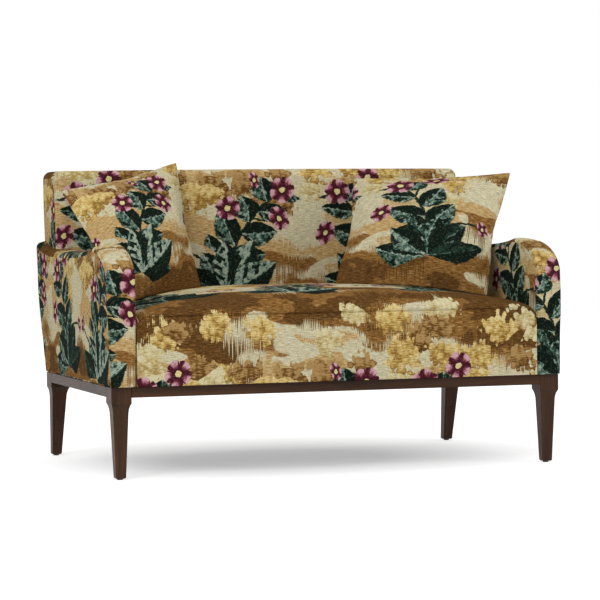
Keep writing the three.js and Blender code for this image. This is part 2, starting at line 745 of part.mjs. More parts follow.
// The opening along the lower seam through which the insert goes in
function zipOpening(corners) {
  const at = Object.fromEntries(Object.entries(corners).map(([name, xyz]) => [name, new THREE.Vector3(...xyz)]));
  const along = at.bottomRight.clone().sub(at.bottomLeft).normalize();
  const upward = at.topLeft.clone().add(at.topRight).sub(at.bottomLeft).sub(at.bottomRight);
  const outward = along.clone().cross(upward).normalize();
  const inPlane = outward.clone().cross(along);
  const slot = new THREE.BoxGeometry(cushionZipLength, 2 * cushionZipDepth, cushionZipGap);
  const centre = at.bottomLeft.clone().lerp(at.bottomRight, 1 / 2);
  slot.applyMatrix4(new THREE.Matrix4().makeBasis(along, inPlane, outward).setPosition(centre));
  return toSolid(slot);
}

function clearOfSettee(form, clearance) {
  const grown = -clearance;
  const low = bodyBottom - cutOverrun;
  return [armSlab(-1, grown), armSlab(1, grown), backSlab(grown), seatForm(grown, low)]
    .reduce((rest, neighbour) => rest.subtract(neighbour), form);
}

function buildCushions() {
  for (const [sideName, corners] of [['left', leftCushionCorners], ['right', rightCushionCorners]]) {
    const outer = clearOfSettee(cushionForm(corners, 0, 0), fitGap);
    const hollow = clearOfSettee(cushionForm(corners, cushionHem, cushionWall), fitGap + cushionWall);
    const cover = outer.subtract(hollow).subtract(zipOpening(corners));
    place(`${sideName}_cushion_cover`, toGeometry(cover), tapestry);
    const insertForm = cushionForm(corners, cushionHem + insertEase, cushionWall + insertEase);
    const insert = clearOfSettee(insertForm, fitGap + cushionWall + insertEase);
    place(`${sideName}_cushion_insert`, toGeometry(insert), foam);
  }
}

buildBase();
buildSeat();
buildArms();
buildBack();
buildCushions();

export default settee;
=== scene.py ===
"""High back settee: tight upholstery in woven tapestry, two loose cushions and a stained wood base.

Metres throughout. X runs to the right, Y to the rear and Z up, as in the frame.
"""

import json
import math

import bmesh
import bpy
import numpy as np
from mathutils import Matrix, Vector, noise


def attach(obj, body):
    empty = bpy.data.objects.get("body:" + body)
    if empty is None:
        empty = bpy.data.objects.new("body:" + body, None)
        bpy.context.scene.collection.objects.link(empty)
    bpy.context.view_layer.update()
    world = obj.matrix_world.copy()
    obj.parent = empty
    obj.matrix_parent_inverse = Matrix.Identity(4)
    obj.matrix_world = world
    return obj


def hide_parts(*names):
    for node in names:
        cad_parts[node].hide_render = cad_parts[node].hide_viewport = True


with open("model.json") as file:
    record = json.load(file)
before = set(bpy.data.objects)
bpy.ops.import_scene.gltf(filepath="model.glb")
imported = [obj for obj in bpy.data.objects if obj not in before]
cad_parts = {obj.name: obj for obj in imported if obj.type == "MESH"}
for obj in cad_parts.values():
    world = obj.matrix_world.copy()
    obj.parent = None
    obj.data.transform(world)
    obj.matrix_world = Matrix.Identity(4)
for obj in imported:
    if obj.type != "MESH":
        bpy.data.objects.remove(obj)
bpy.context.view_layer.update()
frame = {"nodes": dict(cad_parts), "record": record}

# Sizes that the covers share with the frame

BODY_BOTTOM = 0.2556
FRONT_Y = -0.477
REAR_Y = 0.477
REST_GAP = 0.0006
BOTTOM_LAP = 0.008

ARM_INNER_X = 0.588
ARM_OUTER_X = 0.668
ARM_EDGE_RADIUS = 0.011
ARM_TOP_Z = 0.644
ARM_REAR_Z = 0.650
ARM_REAR_RADIUS = 0.026
ARM_NOSE_Z = 0.546
ARM_HUMP_Y = -0.294
ARM_HUMP_EASE = 0.008
ARM_DIP_Z = 0.621
ARM_DIP_Y = 0.100
ARM_DIP_EASE = 0.330
ARM_RISE_GUIDES = ((0.240, 0.619), (0.360, 0.628))

BACK_HALF_WIDTH = 0.640
BACK_TOP = 0.857
BACK_EDGE_RADIUS = 0.022
BACK_TOP_RADIUS = 0.025
BACK_FOOT_Y = 0.272
BACK_FOOT_Z = 0.254
BACK_LEAN = 0.012
RAKE_HEIGHT = 0.518
RAKE_DEPTH = 0.100
RAKE_POWER = 1.35

SEAT_HALF_WIDTH = 0.5872
SEAT_SEAM = 0.445
SEAT_CORNER_RADIUS = 0.038
SEAT_CORNER_DROP = 0.034
SEAT_PEAK_Z = 0.515
SEAT_PEAK_Y = -0.050
SEAT_END_FALL = 0.056
SEAT_END_FALL_POWER = 3.15
SEAT_ROLL_DEPTH = 0.090
SEAT_ROLL_SHARE = 0.72


def back_front_y(z):
    """The back's front face, which is almost upright."""
    return BACK_FOOT_Y + BACK_LEAN * (z - BACK_FOOT_Z) / (BACK_TOP - BACK_FOOT_Z)


def back_rear_y(z):
    """The raked rear that the arms and the back share."""
    rise = np.minimum((z - BACK_FOOT_Z) / RAKE_HEIGHT, 1.0)
    return REAR_Y - RAKE_DEPTH * np.power(1.0 - rise, RAKE_POWER)


def seat_seam_z(x):
    """The front seam is level and turns down into both corners."""
    corner_start = SEAT_HALF_WIDTH - SEAT_CORNER_RADIUS
    past = np.clip((np.abs(x) - corner_start) / SEAT_CORNER_RADIUS, 0.0, 1.0)
    return SEAT_SEAM - SEAT_CORNER_DROP * (1.0 - np.sqrt(1.0 - past * past))


def seat_top_z(x, y):
    """The crowned seat, rolled over at the front and falling towards the arms."""
    seam = seat_seam_z(x)
    end = np.minimum(np.abs(x) / ARM_INNER_X, 1.0)
    peak = SEAT_PEAK_Z - SEAT_END_FALL * np.power(end, SEAT_END_FALL_POWER)
    roll = np.clip((y - FRONT_Y) / SEAT_ROLL_DEPTH, 0.0, 1.0)
    rolled = np.sqrt(np.maximum(1.0 - (1.0 - roll) ** 2, 0.0))
    crown = 1.0 - ((y - SEAT_PEAK_Y) / (SEAT_PEAK_Y - FRONT_Y)) ** 2
    return seam + (peak - seam) * (SEAT_ROLL_SHARE * rolled + (1.0 - SEAT_ROLL_SHARE) * crown)


def bezier(a, b, c, d, count):
    """Points on the curve that leaves a towards b and reaches d from c."""
    t = np.linspace(0.0, 1.0, count)[:, None]
    a, b, c, d = (np.array(p, float) for p in (a, b, c, d))
    return a * (1 - t) ** 3 + 3 * b * t * (1 - t) ** 2 + 3 * c * t * t * (1 - t) + d * t ** 3


def quarter_round(centre, radius_y, radius_z, start, end, count=12):
    """Points on an arc between two angles in degrees."""
    angles = np.radians(np.linspace(start, end, count))
    return np.stack([centre[0] + radius_y * np.cos(angles), centre[1] + radius_z * np.sin(angles)], axis=1)


def even_points(curve, count):
    """Resamples a polyline to evenly spaced points."""
    curve = np.asarray(curve, float)
    steps = np.concatenate([[0.0], np.cumsum(np.linalg.norm(np.diff(curve, axis=0), axis=1))])
    wanted = np.linspace(0.0, steps[-1], count)
    return np.stack([np.interp(wanted, steps, curve[:, k]) for k in range(curve.shape[1])], axis=1)


rear_corner_z = ARM_REAR_Z - ARM_REAR_RADIUS
rear_corner_y = float(back_rear_y(rear_corner_z)) - ARM_REAR_RADIUS
hump, hump_guide = (ARM_HUMP_Y, ARM_TOP_Z), (ARM_HUMP_Y + ARM_HUMP_EASE, ARM_TOP_Z)
dip, dip_guide = (ARM_DIP_Y, ARM_DIP_Z), (ARM_DIP_Y - ARM_DIP_EASE, ARM_DIP_Z)
arm_roll = np.concatenate([
    quarter_round((ARM_HUMP_Y, ARM_NOSE_Z), ARM_HUMP_Y - FRONT_Y, ARM_TOP_Z - ARM_NOSE_Z, 180, 90, 60),
    bezier(hump, hump_guide, dip_guide, dip, 60)[1:],
    bezier(dip, *ARM_RISE_GUIDES, (rear_corner_y, ARM_REAR_Z), 40)[1:],
    quarter_round((rear_corner_y, rear_corner_z), ARM_REAR_RADIUS, ARM_REAR_RADIUS, 90, 0, 12)[1:],
])


def arm_top_z(y):
    """Height of the arm's top line: it rolls over the nose, dips and rises to the back."""
    return np.interp(y, arm_roll[:, 0], arm_roll[:, 1])


def ripple(points, size, shift=0.0):
    """Soft uneven waves, from about -1 to 1, the same on every run."""
    points = np.asarray(points, float)
    values = [noise.noise(Vector(p) / size + Vector((shift, 0.0, 0.0))) for p in points.reshape(-1, 3)]
    return np.array(values).reshape(points.shape[:-1])


# Skins sewn from panels


MERGE_DISTANCE = 0.00002
SLIVER_LENGTH = 0.00001
CREASE_ANGLE = math.radians(55)


def stand(name, data):
    """Puts a mesh, lamp or camera into the scene as an object."""
    thing = bpy.data.objects.new(name, data)
    bpy.context.scene.collection.objects.link(thing)
    return thing


def place_points(mesh, points):
    """Moves all points of a mesh to new places."""
    mesh.vertices.foreach_set("co", points.astype(np.float32).ravel())
    mesh.update()


def sew(name, panels, material):
    """One closed skin from panels: each is a grid of points with their cloth coordinates."""
    vertices, faces, cloth = [], [], []
    for points, uv in panels:
        rows, columns = points.shape[:2]
        start = len(vertices)
        vertices.extend(points.reshape(-1, 3).tolist())
        flat = uv.reshape(-1, 2)
        for r in range(rows - 1):
            for c in range(columns - 1):
                corner = r * columns + c
                quad = [corner, corner + 1, corner + columns + 1, corner + columns]
                faces.append([start + q for q in quad])
                cloth.extend(flat[q] for q in quad)
    mesh = bpy.data.meshes.new(name)
    mesh.from_pydata(vertices, [], faces)
    mesh.uv_layers.new(name="cloth").data.foreach_set("uv", np.array(cloth, np.float32).ravel())
    mesh.materials.append(material)
    work = bmesh.new()
    work.from_mesh(mesh)
    bmesh.ops.remove_doubles(work, verts=work.verts, dist=MERGE_DISTANCE)
    bmesh.ops.dissolve_degenerate(work, edges=work.edges, dist=SLIVER_LENGTH)
    bmesh.ops.holes_fill(work, edges=[e for e in work.edges if e.is_boundary], sides=0)
    bmesh.ops.recalc_face_normals(work, faces=work.faces)
    for face in work.faces:
        face.smooth = True
    work.to_mesh(mesh)
    work.free()
    mesh.set_sharp_from_angle(angle=CREASE_ANGLE)
    return stand(name, mesh)


def eased_share(value, low, high):
    """Rises smoothly from 0 at low to 1 at high."""
    t = np.clip((value - low) / (high - low), 0.0, 1.0)
    return t * t * (3.0 - 2.0 * t)


def inward(outline):
    """Mitred inward directions of a closed outline that runs clockwise in the Y-Z plane."""
    before = outline - np.roll(outline, 1, axis=0)
    after = np.roll(outline, -1, axis=0) - outline
    before /= np.linalg.norm(before, axis=1, keepdims=True)
    after /= np.linalg.norm(after, axis=1, keepdims=True)
    right_before = np.stack([before[:, 1], -before[:, 0]], axis=1)
    right_after = np.stack([after[:, 1], -after[:, 0]], axis=1)
    return (right_before + right_after) / (1.0 + np.sum(right_before * right_after, axis=1, keepdims=True))


# Angles of the points across a rounded edge, close together at the seam in its middle
EDGE_ANGLES = np.radians([0, 14, 27, 36, 41, 43.5, 45, 46.5, 49, 54, 63, 76, 90])
SEAM_ANGLE = 45.0
SEAM_SPREAD = 3.2
# Length of cloth in the step that closes a band round its outline, on the underside
CLOSING_STEP = 0.01
# Where the upper edge of an arm starts to roll over, and where it does so in full
ROLL_START_X = 0.600
ROLL_START_Z = 0.42
ROLL_FULL_Z = 0.56


def edge_stations(radius, seam_depth):
    """Across a rounded edge: each point's distance from the flat and from the outline, the seam sunk in."""
    from_seam = (np.degrees(EDGE_ANGLES) - SEAM_ANGLE) / SEAM_SPREAD
    sunk = seam_depth * np.exp(-from_seam ** 2) * math.sqrt(0.5)
    toward_side = radius * np.sin(EDGE_ANGLES) - sunk
    inset = radius * (1.0 - np.cos(EDGE_ANGLES)) + sunk
    return toward_side, inset


def slab_panels(sides, low_x, high_x, radius, across, cloth, crown=0.0, seam_depth=0.0016, roll=0.0):
    """Panels of a flat upholstered slab that stands in the Y-Z plane.

    sides holds front and rear (upward) and top and bottom (rearward), each sharing its ends with the next.
    cloth holds, for each side and for the low and high faces, what turns points and arc into cloth metres.
    roll bends the upper edge over towards the outside of the settee.
    """
    front, top, rear, bottom = sides
    outline = np.concatenate([front[:-1], top[:-1], rear[::-1][:-1], bottom[::-1][:-1]])
    turn_in = inward(outline)
    arc = np.concatenate([[0.0], np.cumsum(np.linalg.norm(np.diff(outline, axis=0), axis=1))])
    toward_side, inset = edge_stations(radius, seam_depth)
    flat = np.linspace(0.0, 1.0, across)[1:-1]
    flat_x = low_x + radius + flat * (high_x - low_x - 2 * radius)
    xs = np.concatenate([(low_x + radius - toward_side)[::-1], flat_x, high_x - radius + toward_side])
    insets = np.concatenate([inset[::-1], -crown * 4 * flat * (1 - flat), inset])
    bent = roll * np.maximum(np.abs(xs) - ROLL_START_X, 0.0) ** 2
    insets = insets + eased_share(outline[:, 1:], ROLL_START_Z, ROLL_FULL_Z) * bent
    yz = outline[:, None, :] + turn_in[:, None, :] * insets[..., None]
    ring = np.concatenate([np.broadcast_to(xs[None, :, None], yz.shape[:2] + (1,)), yz], axis=2)
    ring[..., 2] = np.maximum(ring[..., 2], BODY_BOTTOM)
    counts = [len(front) - 1, len(top) - 1, len(rear) - 1, len(bottom) - 1]
    starts = np.cumsum([0] + counts)
    panels = []
    for number, name in enumerate(("front", "top", "rear", "bottom")):
        rows = np.arange(starts[number], starts[number + 1] + 1)
        row_arc = np.append(arc, arc[-1] + CLOSING_STEP)[rows]
        points = ring[rows % len(outline)]
        panels.append((points, cloth[name](points, row_arc[:, None] + np.zeros(points.shape[:2]))))
    for name, column in (("low", 0), ("high", len(xs) - 1)):
        # The face is stretched evenly between its four edges.
        loop = ring[:, column]
        f = loop[0:counts[0] + 1]
        t = loop[starts[1]:starts[2] + 1]
        r = loop[starts[2]:starts[3] + 1][::-1]
        b = np.concatenate([loop[starts[3]:], loop[:1]])[::-1]
        a = np.linspace(0, 1, len(t))[None, :, None]
        h = np.linspace(0, 1, len(f))[:, None, None]
        grid = ((1 - h) * b[None] + h * t[None] + (1 - a) * f[:, None] + a * r[:, None]
                - (1 - a) * (1 - h) * b[0] - a * (1 - h) * b[-1] - (1 - a) * h * t[0] - a * h * t[-1])
        panels.append((grid, cloth[name](grid, np.zeros(grid.shape[:2]))))
    return panels


# Nodes and colours


MATH, VECTOR_MATH = "ShaderNodeMath", "ShaderNodeVectorMath"
NUMBER, VECTOR = "NodeSocketFloat", "NodeSocketVector"


def paint(hex_colour):
    """An sRGB hex colour as linear red, green, blue and alpha."""
    parts = [int(hex_colour[i:i + 2], 16) / 255 for i in (1, 3, 5)]
    return (*[p / 12.92 if p <= 0.04045 else ((p + 0.055) / 1.055) ** 2.4 for p in parts], 1.0)


def add(tree, kind, inputs=None, out=0, stops=None, **settings):
    """Adds a node with its settings and links, and returns one of its outputs."""
    node = tree.nodes.new(kind)
    for name, value in settings.items():
        setattr(node, name, value)
    for key, value in (inputs or {}).items():
        if isinstance(value, bpy.types.NodeSocket):
            tree.links.new(value, node.inputs[key])
        else:
            node.inputs[key].default_value = value
    if stops:
        while len(node.color_ramp.elements) < len(stops):
            node.color_ramp.elements.new(1.0)
        for element, (place, colour) in zip(node.color_ramp.elements, stops):
            element.position = place
            element.color = paint(colour)
    return node.outputs[out] if out is not None and node.outputs else node


def blank_material(name):
    """A new material and its node tree, emptied."""
    material = bpy.data.materials.new(name)
    material.use_nodes = True
    material.node_tree.nodes.clear()
    return material, material.node_tree


def open_group(name, inputs, outputs):
    """A node group with its sockets: the tree, the node that enters it and the node that leaves it."""
    tree = bpy.data.node_groups.new(name, "ShaderNodeTree")
    for label, kind in inputs:
        tree.interface.new_socket(name=label, in_out="INPUT", socket_type=kind)
    for label, kind in outputs:
        tree.interface.new_socket(name=label, in_out="OUTPUT", socket_type=kind)
    return tree, tree.nodes.new("NodeGroupInput"), tree.nodes.new("NodeGroupOutput")


def close_group(tree, leave, **results):
    """Leads each result out of the group under its own name."""
    for label, result in results.items():
        tree.links.new(result, leave.inputs[label])
    return tree


def lay_over(tree, heap, cover, *tones):
    """Lays a form over a heap of forms: both are a cover and tones, and the form hides what it covers."""
    if heap is None:
        return cover, *tones
    mixed = [add(tree, "ShaderNodeMix", {0: cover, 2: under, 3: tone})
             for under, tone in zip(heap[1:], tones)]
    return add(tree, MATH, {0: heap[0], 1: cover}, operation="MAXIMUM"), *mixed


def lay_colours(tree, colour, *layers):
    """Lays colours over each other: each layer is a cover and a colour."""
    for cover, laid in layers:
        colour = add(tree, "ShaderNodeMix", {0: cover, 6: colour, 7: laid}, out=2, data_type="RGBA")
    return colour


# Woven forms: each stands on the cloth at a root of its own, in metres

ROOT = [("Cloth", VECTOR), ("Base", VECTOR), ("Turn", NUMBER)]
FORM = [("Cover", NUMBER), ("Tone", NUMBER)]


def from_root(tree, enter):
    """The cloth as the form sees it, from its root and along its heading."""
    away = add(tree, VECTOR_MATH, {0: enter.outputs["Cloth"], 1: enter.outputs["Base"]},
               operation="SUBTRACT")
    return add(tree, "ShaderNodeVectorRotate", {"Vector": away, "Angle": enter.outputs["Turn"]},
               rotation_type="Z_AXIS")


def arched(tree, along, side, bend):
    """The height of a unit arch along a form, and how far to the side of the bent form a point lies."""
    left = add(tree, MATH, {0: 1.0, 1: along}, operation="SUBTRACT")
    hump = add(tree, MATH, {0: along, 1: left}, operation="MULTIPLY")
    bent = add(tree, MATH, {0: hump, 1: bend, 2: side}, operation="MULTIPLY_ADD")
    return hump, bent


def make_leaf_shape():
    """A pointed leaf of unit length and half width: cover, and a tone for its dark and its light half."""
    fullness, base_width, taper = 0.80, 1.28, 0.60
    edge_sharpness, curl_width, rib_width = 14.0, 0.20, 0.055
    hatches, hatch_slant, half_seed, leaf_seed = 13.0, 0.22, 57.0, 37.0
    least_reach, light_gain, chance_gain = -0.62, 0.72, 0.95
    dark_tone, curl_tone, stroke_tone, rib_tone = 0.16, 0.26, 0.40, 0.22
    tree, enter, leave = open_group(
        "woven_leaf", [("Along", NUMBER), ("Side", NUMBER), ("Bend", NUMBER)], FORM)
    along, bend = enter.outputs["Along"], enter.outputs["Bend"]
    hump, bent = arched(tree, along, enter.outputs["Side"], bend)
    off = add(tree, MATH, {0: bent}, operation="ABSOLUTE")
    swell = add(tree, MATH, {0: hump, 1: 4.0}, operation="MULTIPLY")
    rounded = add(tree, MATH, {0: swell, 1: fullness}, operation="POWER")
    narrowed = add(tree, MATH, {0: along, 1: -taper, 2: base_width}, operation="MULTIPLY_ADD")
    half = add(tree, MATH, {0: rounded, 1: narrowed}, operation="MULTIPLY")
    inside = add(tree, MATH, {0: half, 1: off}, operation="SUBTRACT")
    within = add(tree, MATH, {0: hump, 1: 0.002}, operation="GREATER_THAN")
    soft = add(tree, MATH, {0: inside, 1: edge_sharpness}, operation="MULTIPLY", use_clamp=True)
    cover = add(tree, MATH, {0: soft, 1: within}, operation="MULTIPLY")
    light_half = add(tree, MATH, {0: bent, 1: 0.0}, operation="GREATER_THAN")
    curl = add(tree, MATH, {0: inside, 1: curl_width}, operation="LESS_THAN")
    rib = add(tree, MATH, {0: off, 1: rib_width}, operation="LESS_THAN")

    # Slanting hatches of light yarn run out from the rib, each as far as chance takes it.
    slant = add(tree, MATH, {0: off, 1: -hatch_slant, 2: along}, operation="MULTIPLY_ADD")
    hatch = add(tree, MATH, {0: slant, 1: hatches}, operation="MULTIPLY")
    hatch = add(tree, MATH, {0: hatch}, operation="FLOOR")
    hatch = add(tree, MATH, {0: light_half, 1: half_seed, 2: hatch}, operation="MULTIPLY_ADD")
    hatch = add(tree, MATH, {0: bend, 1: leaf_seed, 2: hatch}, operation="MULTIPLY_ADD")
    chance = add(tree, "ShaderNodeTexWhiteNoise", {"W": hatch}, noise_dimensions="1D")
    reach = add(tree, MATH, {0: light_half, 1: light_gain, 2: least_reach}, operation="MULTIPLY_ADD")
    reach = add(tree, MATH, {0: chance, 1: chance_gain, 2: reach}, operation="MULTIPLY_ADD")
    reach = add(tree, MATH, {0: reach, 1: half}, operation="MULTIPLY")
    stroke = add(tree, MATH, {0: off, 1: reach}, operation="LESS_THAN")
    lit = add(tree, MATH, {0: curl, 1: light_half}, operation="MULTIPLY")
    tone = dark_tone
    for mark, gain in ((lit, curl_tone), (stroke, stroke_tone), (rib, rib_tone)):
        tone = add(tree, MATH, {0: mark, 1: gain, 2: tone}, operation="MULTIPLY_ADD")
    return close_group(tree, leave, Cover=cover, Tone=tone)


def grow_leaf(tree, leaf_shape, place, size, chance, most_bend):
    """One leaf of its own size, bent to either side as chance has it."""
    sized = add(tree, VECTOR_MATH, {0: place, 1: size}, operation="DIVIDE")
    own = add(tree, "ShaderNodeSeparateXYZ", {0: sized}, out=None)
    bend = add(tree, "ShaderNodeSeparateXYZ", {0: chance}, out="Z")
    bend = add(tree, MATH, {0: bend, 1: 2 * most_bend, 2: -most_bend}, operation="MULTIPLY_ADD")
    return add(tree, "ShaderNodeGroup", {"Along": own.outputs[0], "Side": own.outputs[1], "Bend": bend},
               out=None, node_tree=leaf_shape)


def make_fan_shape(leaf_shape):
    """Three broad leaves that spread from one base, no two alike."""
    least_stretch, more_stretch, most_bend = (0.76, 0.80, 1.0), (0.38, 0.34, 0.0), 1.2
    least_tone, more_tone = 0.50, 0.95
    tree, enter, leave = open_group(
        "woven_fan", ROOT + [("Spread", NUMBER), ("Size", VECTOR), ("Kind", NUMBER)], FORM)
    spread = enter.outputs["Spread"]
    turned = from_root(tree, enter)
    parts = add(tree, "ShaderNodeSeparateXYZ", {0: turned}, out=None)
    angle = add(tree, MATH, {0: parts.outputs[1], 1: parts.outputs[0]}, operation="ARCTAN2")
    number = add(tree, MATH, {0: angle, 1: spread}, operation="DIVIDE")
    number = add(tree, MATH, {0: number}, operation="ROUND")
    swing = add(tree, MATH, {0: number, 1: spread}, operation="MULTIPLY")
    swing = add(tree, MATH, {0: swing, 1: -1.0}, operation="MULTIPLY")
    own = add(tree, "ShaderNodeVectorRotate", {"Vector": turned, "Angle": swing}, rotation_type="Z_AXIS")
    chance = add(tree, MATH, {0: number, 1: enter.outputs["Kind"]}, operation="ADD")
    chance = add(tree, "ShaderNodeTexWhiteNoise", {"W": chance}, out="Color", noise_dimensions="1D")
    stretch = add(tree, VECTOR_MATH, {0: chance, 1: more_stretch, 2: least_stretch},
                  operation="MULTIPLY_ADD")
    size = add(tree, VECTOR_MATH, {0: enter.outputs["Size"], 1: stretch}, operation="MULTIPLY")
    blade = grow_leaf(tree, leaf_shape, own, size, chance, most_bend)
    near = add(tree, MATH, {0: number}, operation="ABSOLUTE")
    near = add(tree, MATH, {0: near, 1: 1.5}, operation="LESS_THAN")
    cover = add(tree, MATH, {0: blade.outputs["Cover"], 1: near}, operation="MULTIPLY")
    depth = add(tree, "ShaderNodeSeparateXYZ", {0: chance}, out="Y")
    depth = add(tree, MATH, {0: depth, 1: more_tone, 2: least_tone}, operation="MULTIPLY_ADD")
    tone = add(tree, MATH, {0: blade.outputs["Tone"], 1: depth}, operation="MULTIPLY")
    return close_group(tree, leave, Cover=cover, Tone=tone)


def make_row_shape(leaf_shape):
    """Leaves that grow by turns from the two sides of an arched stalk, smaller towards its head."""
    pitch, lean, setback, side_seed, most_bend = 0.084, math.radians(-54), 0.010, 31.0, 1.0
    least_size, more_size = (0.114, 0.0385, 1.0), (0.026, 0.008, 0.0)
    first_share, last_share = 0.24, 1.02
    tree, enter, leave = open_group(
        "woven_row", ROOT + [("Length", NUMBER), ("Arch", NUMBER), ("Kind", NUMBER)], FORM)
    parts = add(tree, "ShaderNodeSeparateXYZ", {0: from_root(tree, enter)}, out=None)
    share = add(tree, MATH, {0: parts.outputs[0], 1: enter.outputs["Length"]}, operation="DIVIDE")
    _, side = arched(tree, share, parts.outputs[1], enter.outputs["Arch"])
    far_side = add(tree, MATH, {0: side, 1: 0.0}, operation="GREATER_THAN")
    steps = add(tree, MATH, {0: parts.outputs[0], 1: 1 / pitch}, operation="MULTIPLY")
    steps = add(tree, MATH, {0: far_side, 1: 0.5, 2: steps}, operation="MULTIPLY_ADD")
    number = add(tree, MATH, {0: steps}, operation="FLOOR")
    chance = add(tree, MATH, {0: far_side, 1: side_seed, 2: enter.outputs["Kind"]},
                 operation="MULTIPLY_ADD")
    chance = add(tree, MATH, {0: number, 1: chance}, operation="ADD")
    chance = add(tree, "ShaderNodeTexWhiteNoise", {"W": chance}, out="Color", noise_dimensions="1D")
    start = add(tree, MATH, {0: steps}, operation="FRACT")
    start = add(tree, MATH, {0: start, 1: pitch, 2: -setback}, operation="MULTIPLY_ADD")
    away = add(tree, MATH, {0: side}, operation="ABSOLUTE")
    own = add(tree, "ShaderNodeCombineXYZ", {0: start, 1: away})
    own = add(tree, "ShaderNodeVectorRotate", {"Vector": own, "Angle": lean}, rotation_type="Z_AXIS")
    size = add(tree, VECTOR_MATH, {0: chance, 1: more_size, 2: least_size}, operation="MULTIPLY_ADD")
    lessen = add(tree, "ShaderNodeMapRange", {0: share, 1: 0.35, 2: 1.1, 3: 1.0, 4: 0.66})
    size = add(tree, VECTOR_MATH, {0: size, "Scale": lessen}, operation="SCALE")
    blade = grow_leaf(tree, leaf_shape, own, size, chance, most_bend)
    low = add(tree, MATH, {0: share, 1: first_share}, operation="GREATER_THAN")
    high = add(tree, MATH, {0: share, 1: last_share}, operation="LESS_THAN")
    grows = add(tree, MATH, {0: low, 1: high}, operation="MULTIPLY")
    cover = add(tree, MATH, {0: blade.outputs["Cover"], 1: grows}, operation="MULTIPLY")
    return close_group(tree, leave, Cover=cover, Tone=blade.outputs["Tone"])


def make_stem_shape():
    """A thin stalk with an even arch."""
    tree, enter, leave = open_group("woven_stem", ROOT + [("Size", VECTOR), ("Bend", NUMBER)], FORM[:1])
    sized = add(tree, VECTOR_MATH, {0: from_root(tree, enter), 1: enter.outputs["Size"]},
                operation="DIVIDE")
    parts = add(tree, "ShaderNodeSeparateXYZ", {0: sized}, out=None)
    hump, bent = arched(tree, parts.outputs[0], parts.outputs[1], enter.outputs["Bend"])
    off = add(tree, MATH, {0: bent}, operation="ABSOLUTE")
    near = add(tree, MATH, {0: off, 1: 1.0}, operation="LESS_THAN")
    within = add(tree, MATH, {0: hump, 1: 0.0}, operation="GREATER_THAN")
    cover = add(tree, MATH, {0: near, 1: within}, operation="MULTIPLY")
    return close_group(tree, leave, Cover=cover)


def make_blossom_shape():
    """An open five-petalled blossom: cover, a tone that pales on one side of each petal, and its heart."""
    petals, petal_roundness, notch_depth = 5, 0.42, 0.14
    cleft, petal_length, edge_sharpness, heart_radius = 0.62, 0.36, 16.0, 0.21
    tree, enter, leave = open_group("woven_blossom", ROOT + [("Size", VECTOR)], FORM + [("Heart", NUMBER)])
    sized = add(tree, VECTOR_MATH, {0: from_root(tree, enter), 1: enter.outputs["Size"]},
                operation="DIVIDE")
    parts = add(tree, "ShaderNodeSeparateXYZ", {0: sized}, out=None)
    radius = add(tree, VECTOR_MATH, {0: sized}, out="Value", operation="LENGTH")
    angle = add(tree, MATH, {0: parts.outputs[1], 1: parts.outputs[0]}, operation="ARCTAN2")
    wheel = add(tree, MATH, {0: angle, 1: petals / 2}, operation="MULTIPLY")
    petal = add(tree, MATH, {0: wheel}, operation="COSINE")
    petal = add(tree, MATH, {0: petal}, operation="ABSOLUTE")
    full = add(tree, MATH, {0: petal, 1: petal_roundness}, operation="POWER")
    notch = add(tree, MATH, {0: wheel, 1: 2.0}, operation="MULTIPLY")
    notch = add(tree, MATH, {0: notch}, operation="COSINE")
    full = add(tree, MATH, {0: notch, 1: -notch_depth, 2: full}, operation="MULTIPLY_ADD")
    edge = add(tree, MATH, {0: full, 1: petal_length, 2: cleft}, operation="MULTIPLY_ADD")
    inside = add(tree, MATH, {0: edge, 1: radius}, operation="SUBTRACT")
    cover = add(tree, MATH, {0: inside, 1: edge_sharpness}, operation="MULTIPLY", use_clamp=True)

    # Each petal pales outwards and to one side, and stays dark in the crease beside the next.
    pale = add(tree, MATH, {0: radius, 1: 2.2, 2: -0.75}, operation="MULTIPLY_ADD", use_clamp=True)
    aside = add(tree, MATH, {0: wheel, 1: 0.45}, operation="ADD")
    aside = add(tree, MATH, {0: aside}, operation="COSINE")
    aside = add(tree, MATH, {0: aside}, operation="ABSOLUTE")
    aside = add(tree, MATH, {0: aside, 1: 2.6, 2: -1.15}, operation="MULTIPLY_ADD", use_clamp=True)
    tone = add(tree, MATH, {0: pale, 1: aside}, operation="MULTIPLY")
    crease = add(tree, MATH, {0: petal, 1: 4.0, 2: -0.6}, operation="MULTIPLY_ADD", use_clamp=True)
    tone = add(tree, MATH, {0: tone, 1: crease}, operation="MULTIPLY")
    heart = add(tree, MATH, {0: radius, 1: heart_radius}, operation="LESS_THAN")
    return close_group(tree, leave, Cover=cover, Tone=tone, Heart=heart)


def set_on_cloth(tree, shape, cloth, base, turn, **sizes):
    """Sets a woven form on the cloth: its root in metres and its heading in degrees."""
    root = {"Cloth": cloth, "Base": (*base, 0.0), "Turn": -math.radians(turn)}
    return add(tree, "ShaderNodeGroup", {**root, **sizes}, out=None, node_tree=shape)


# Tapestry pattern: flowering sprays on a pale ground, between banks of earth and golden bushes

REPEAT_WIDE, REPEAT_HIGH = 0.82, 0.62
BANK_MIDDLE, BUSH_MIDDLE = 0.540, 0.345
MAIN_STALK_HALF, SIDE_STALK_HALF = 0.0050, 0.0036
FAN_SIZES = ((0.160, 0.050), (0.168, 0.050))
FAN_SPREAD = math.radians(62)
DRIFT = 0.008
COMB_PITCH = 0.0050
COMB_REACH = 0.075
LEAFLETS_PER_METRE = (62.0, 45.0, 1.0)

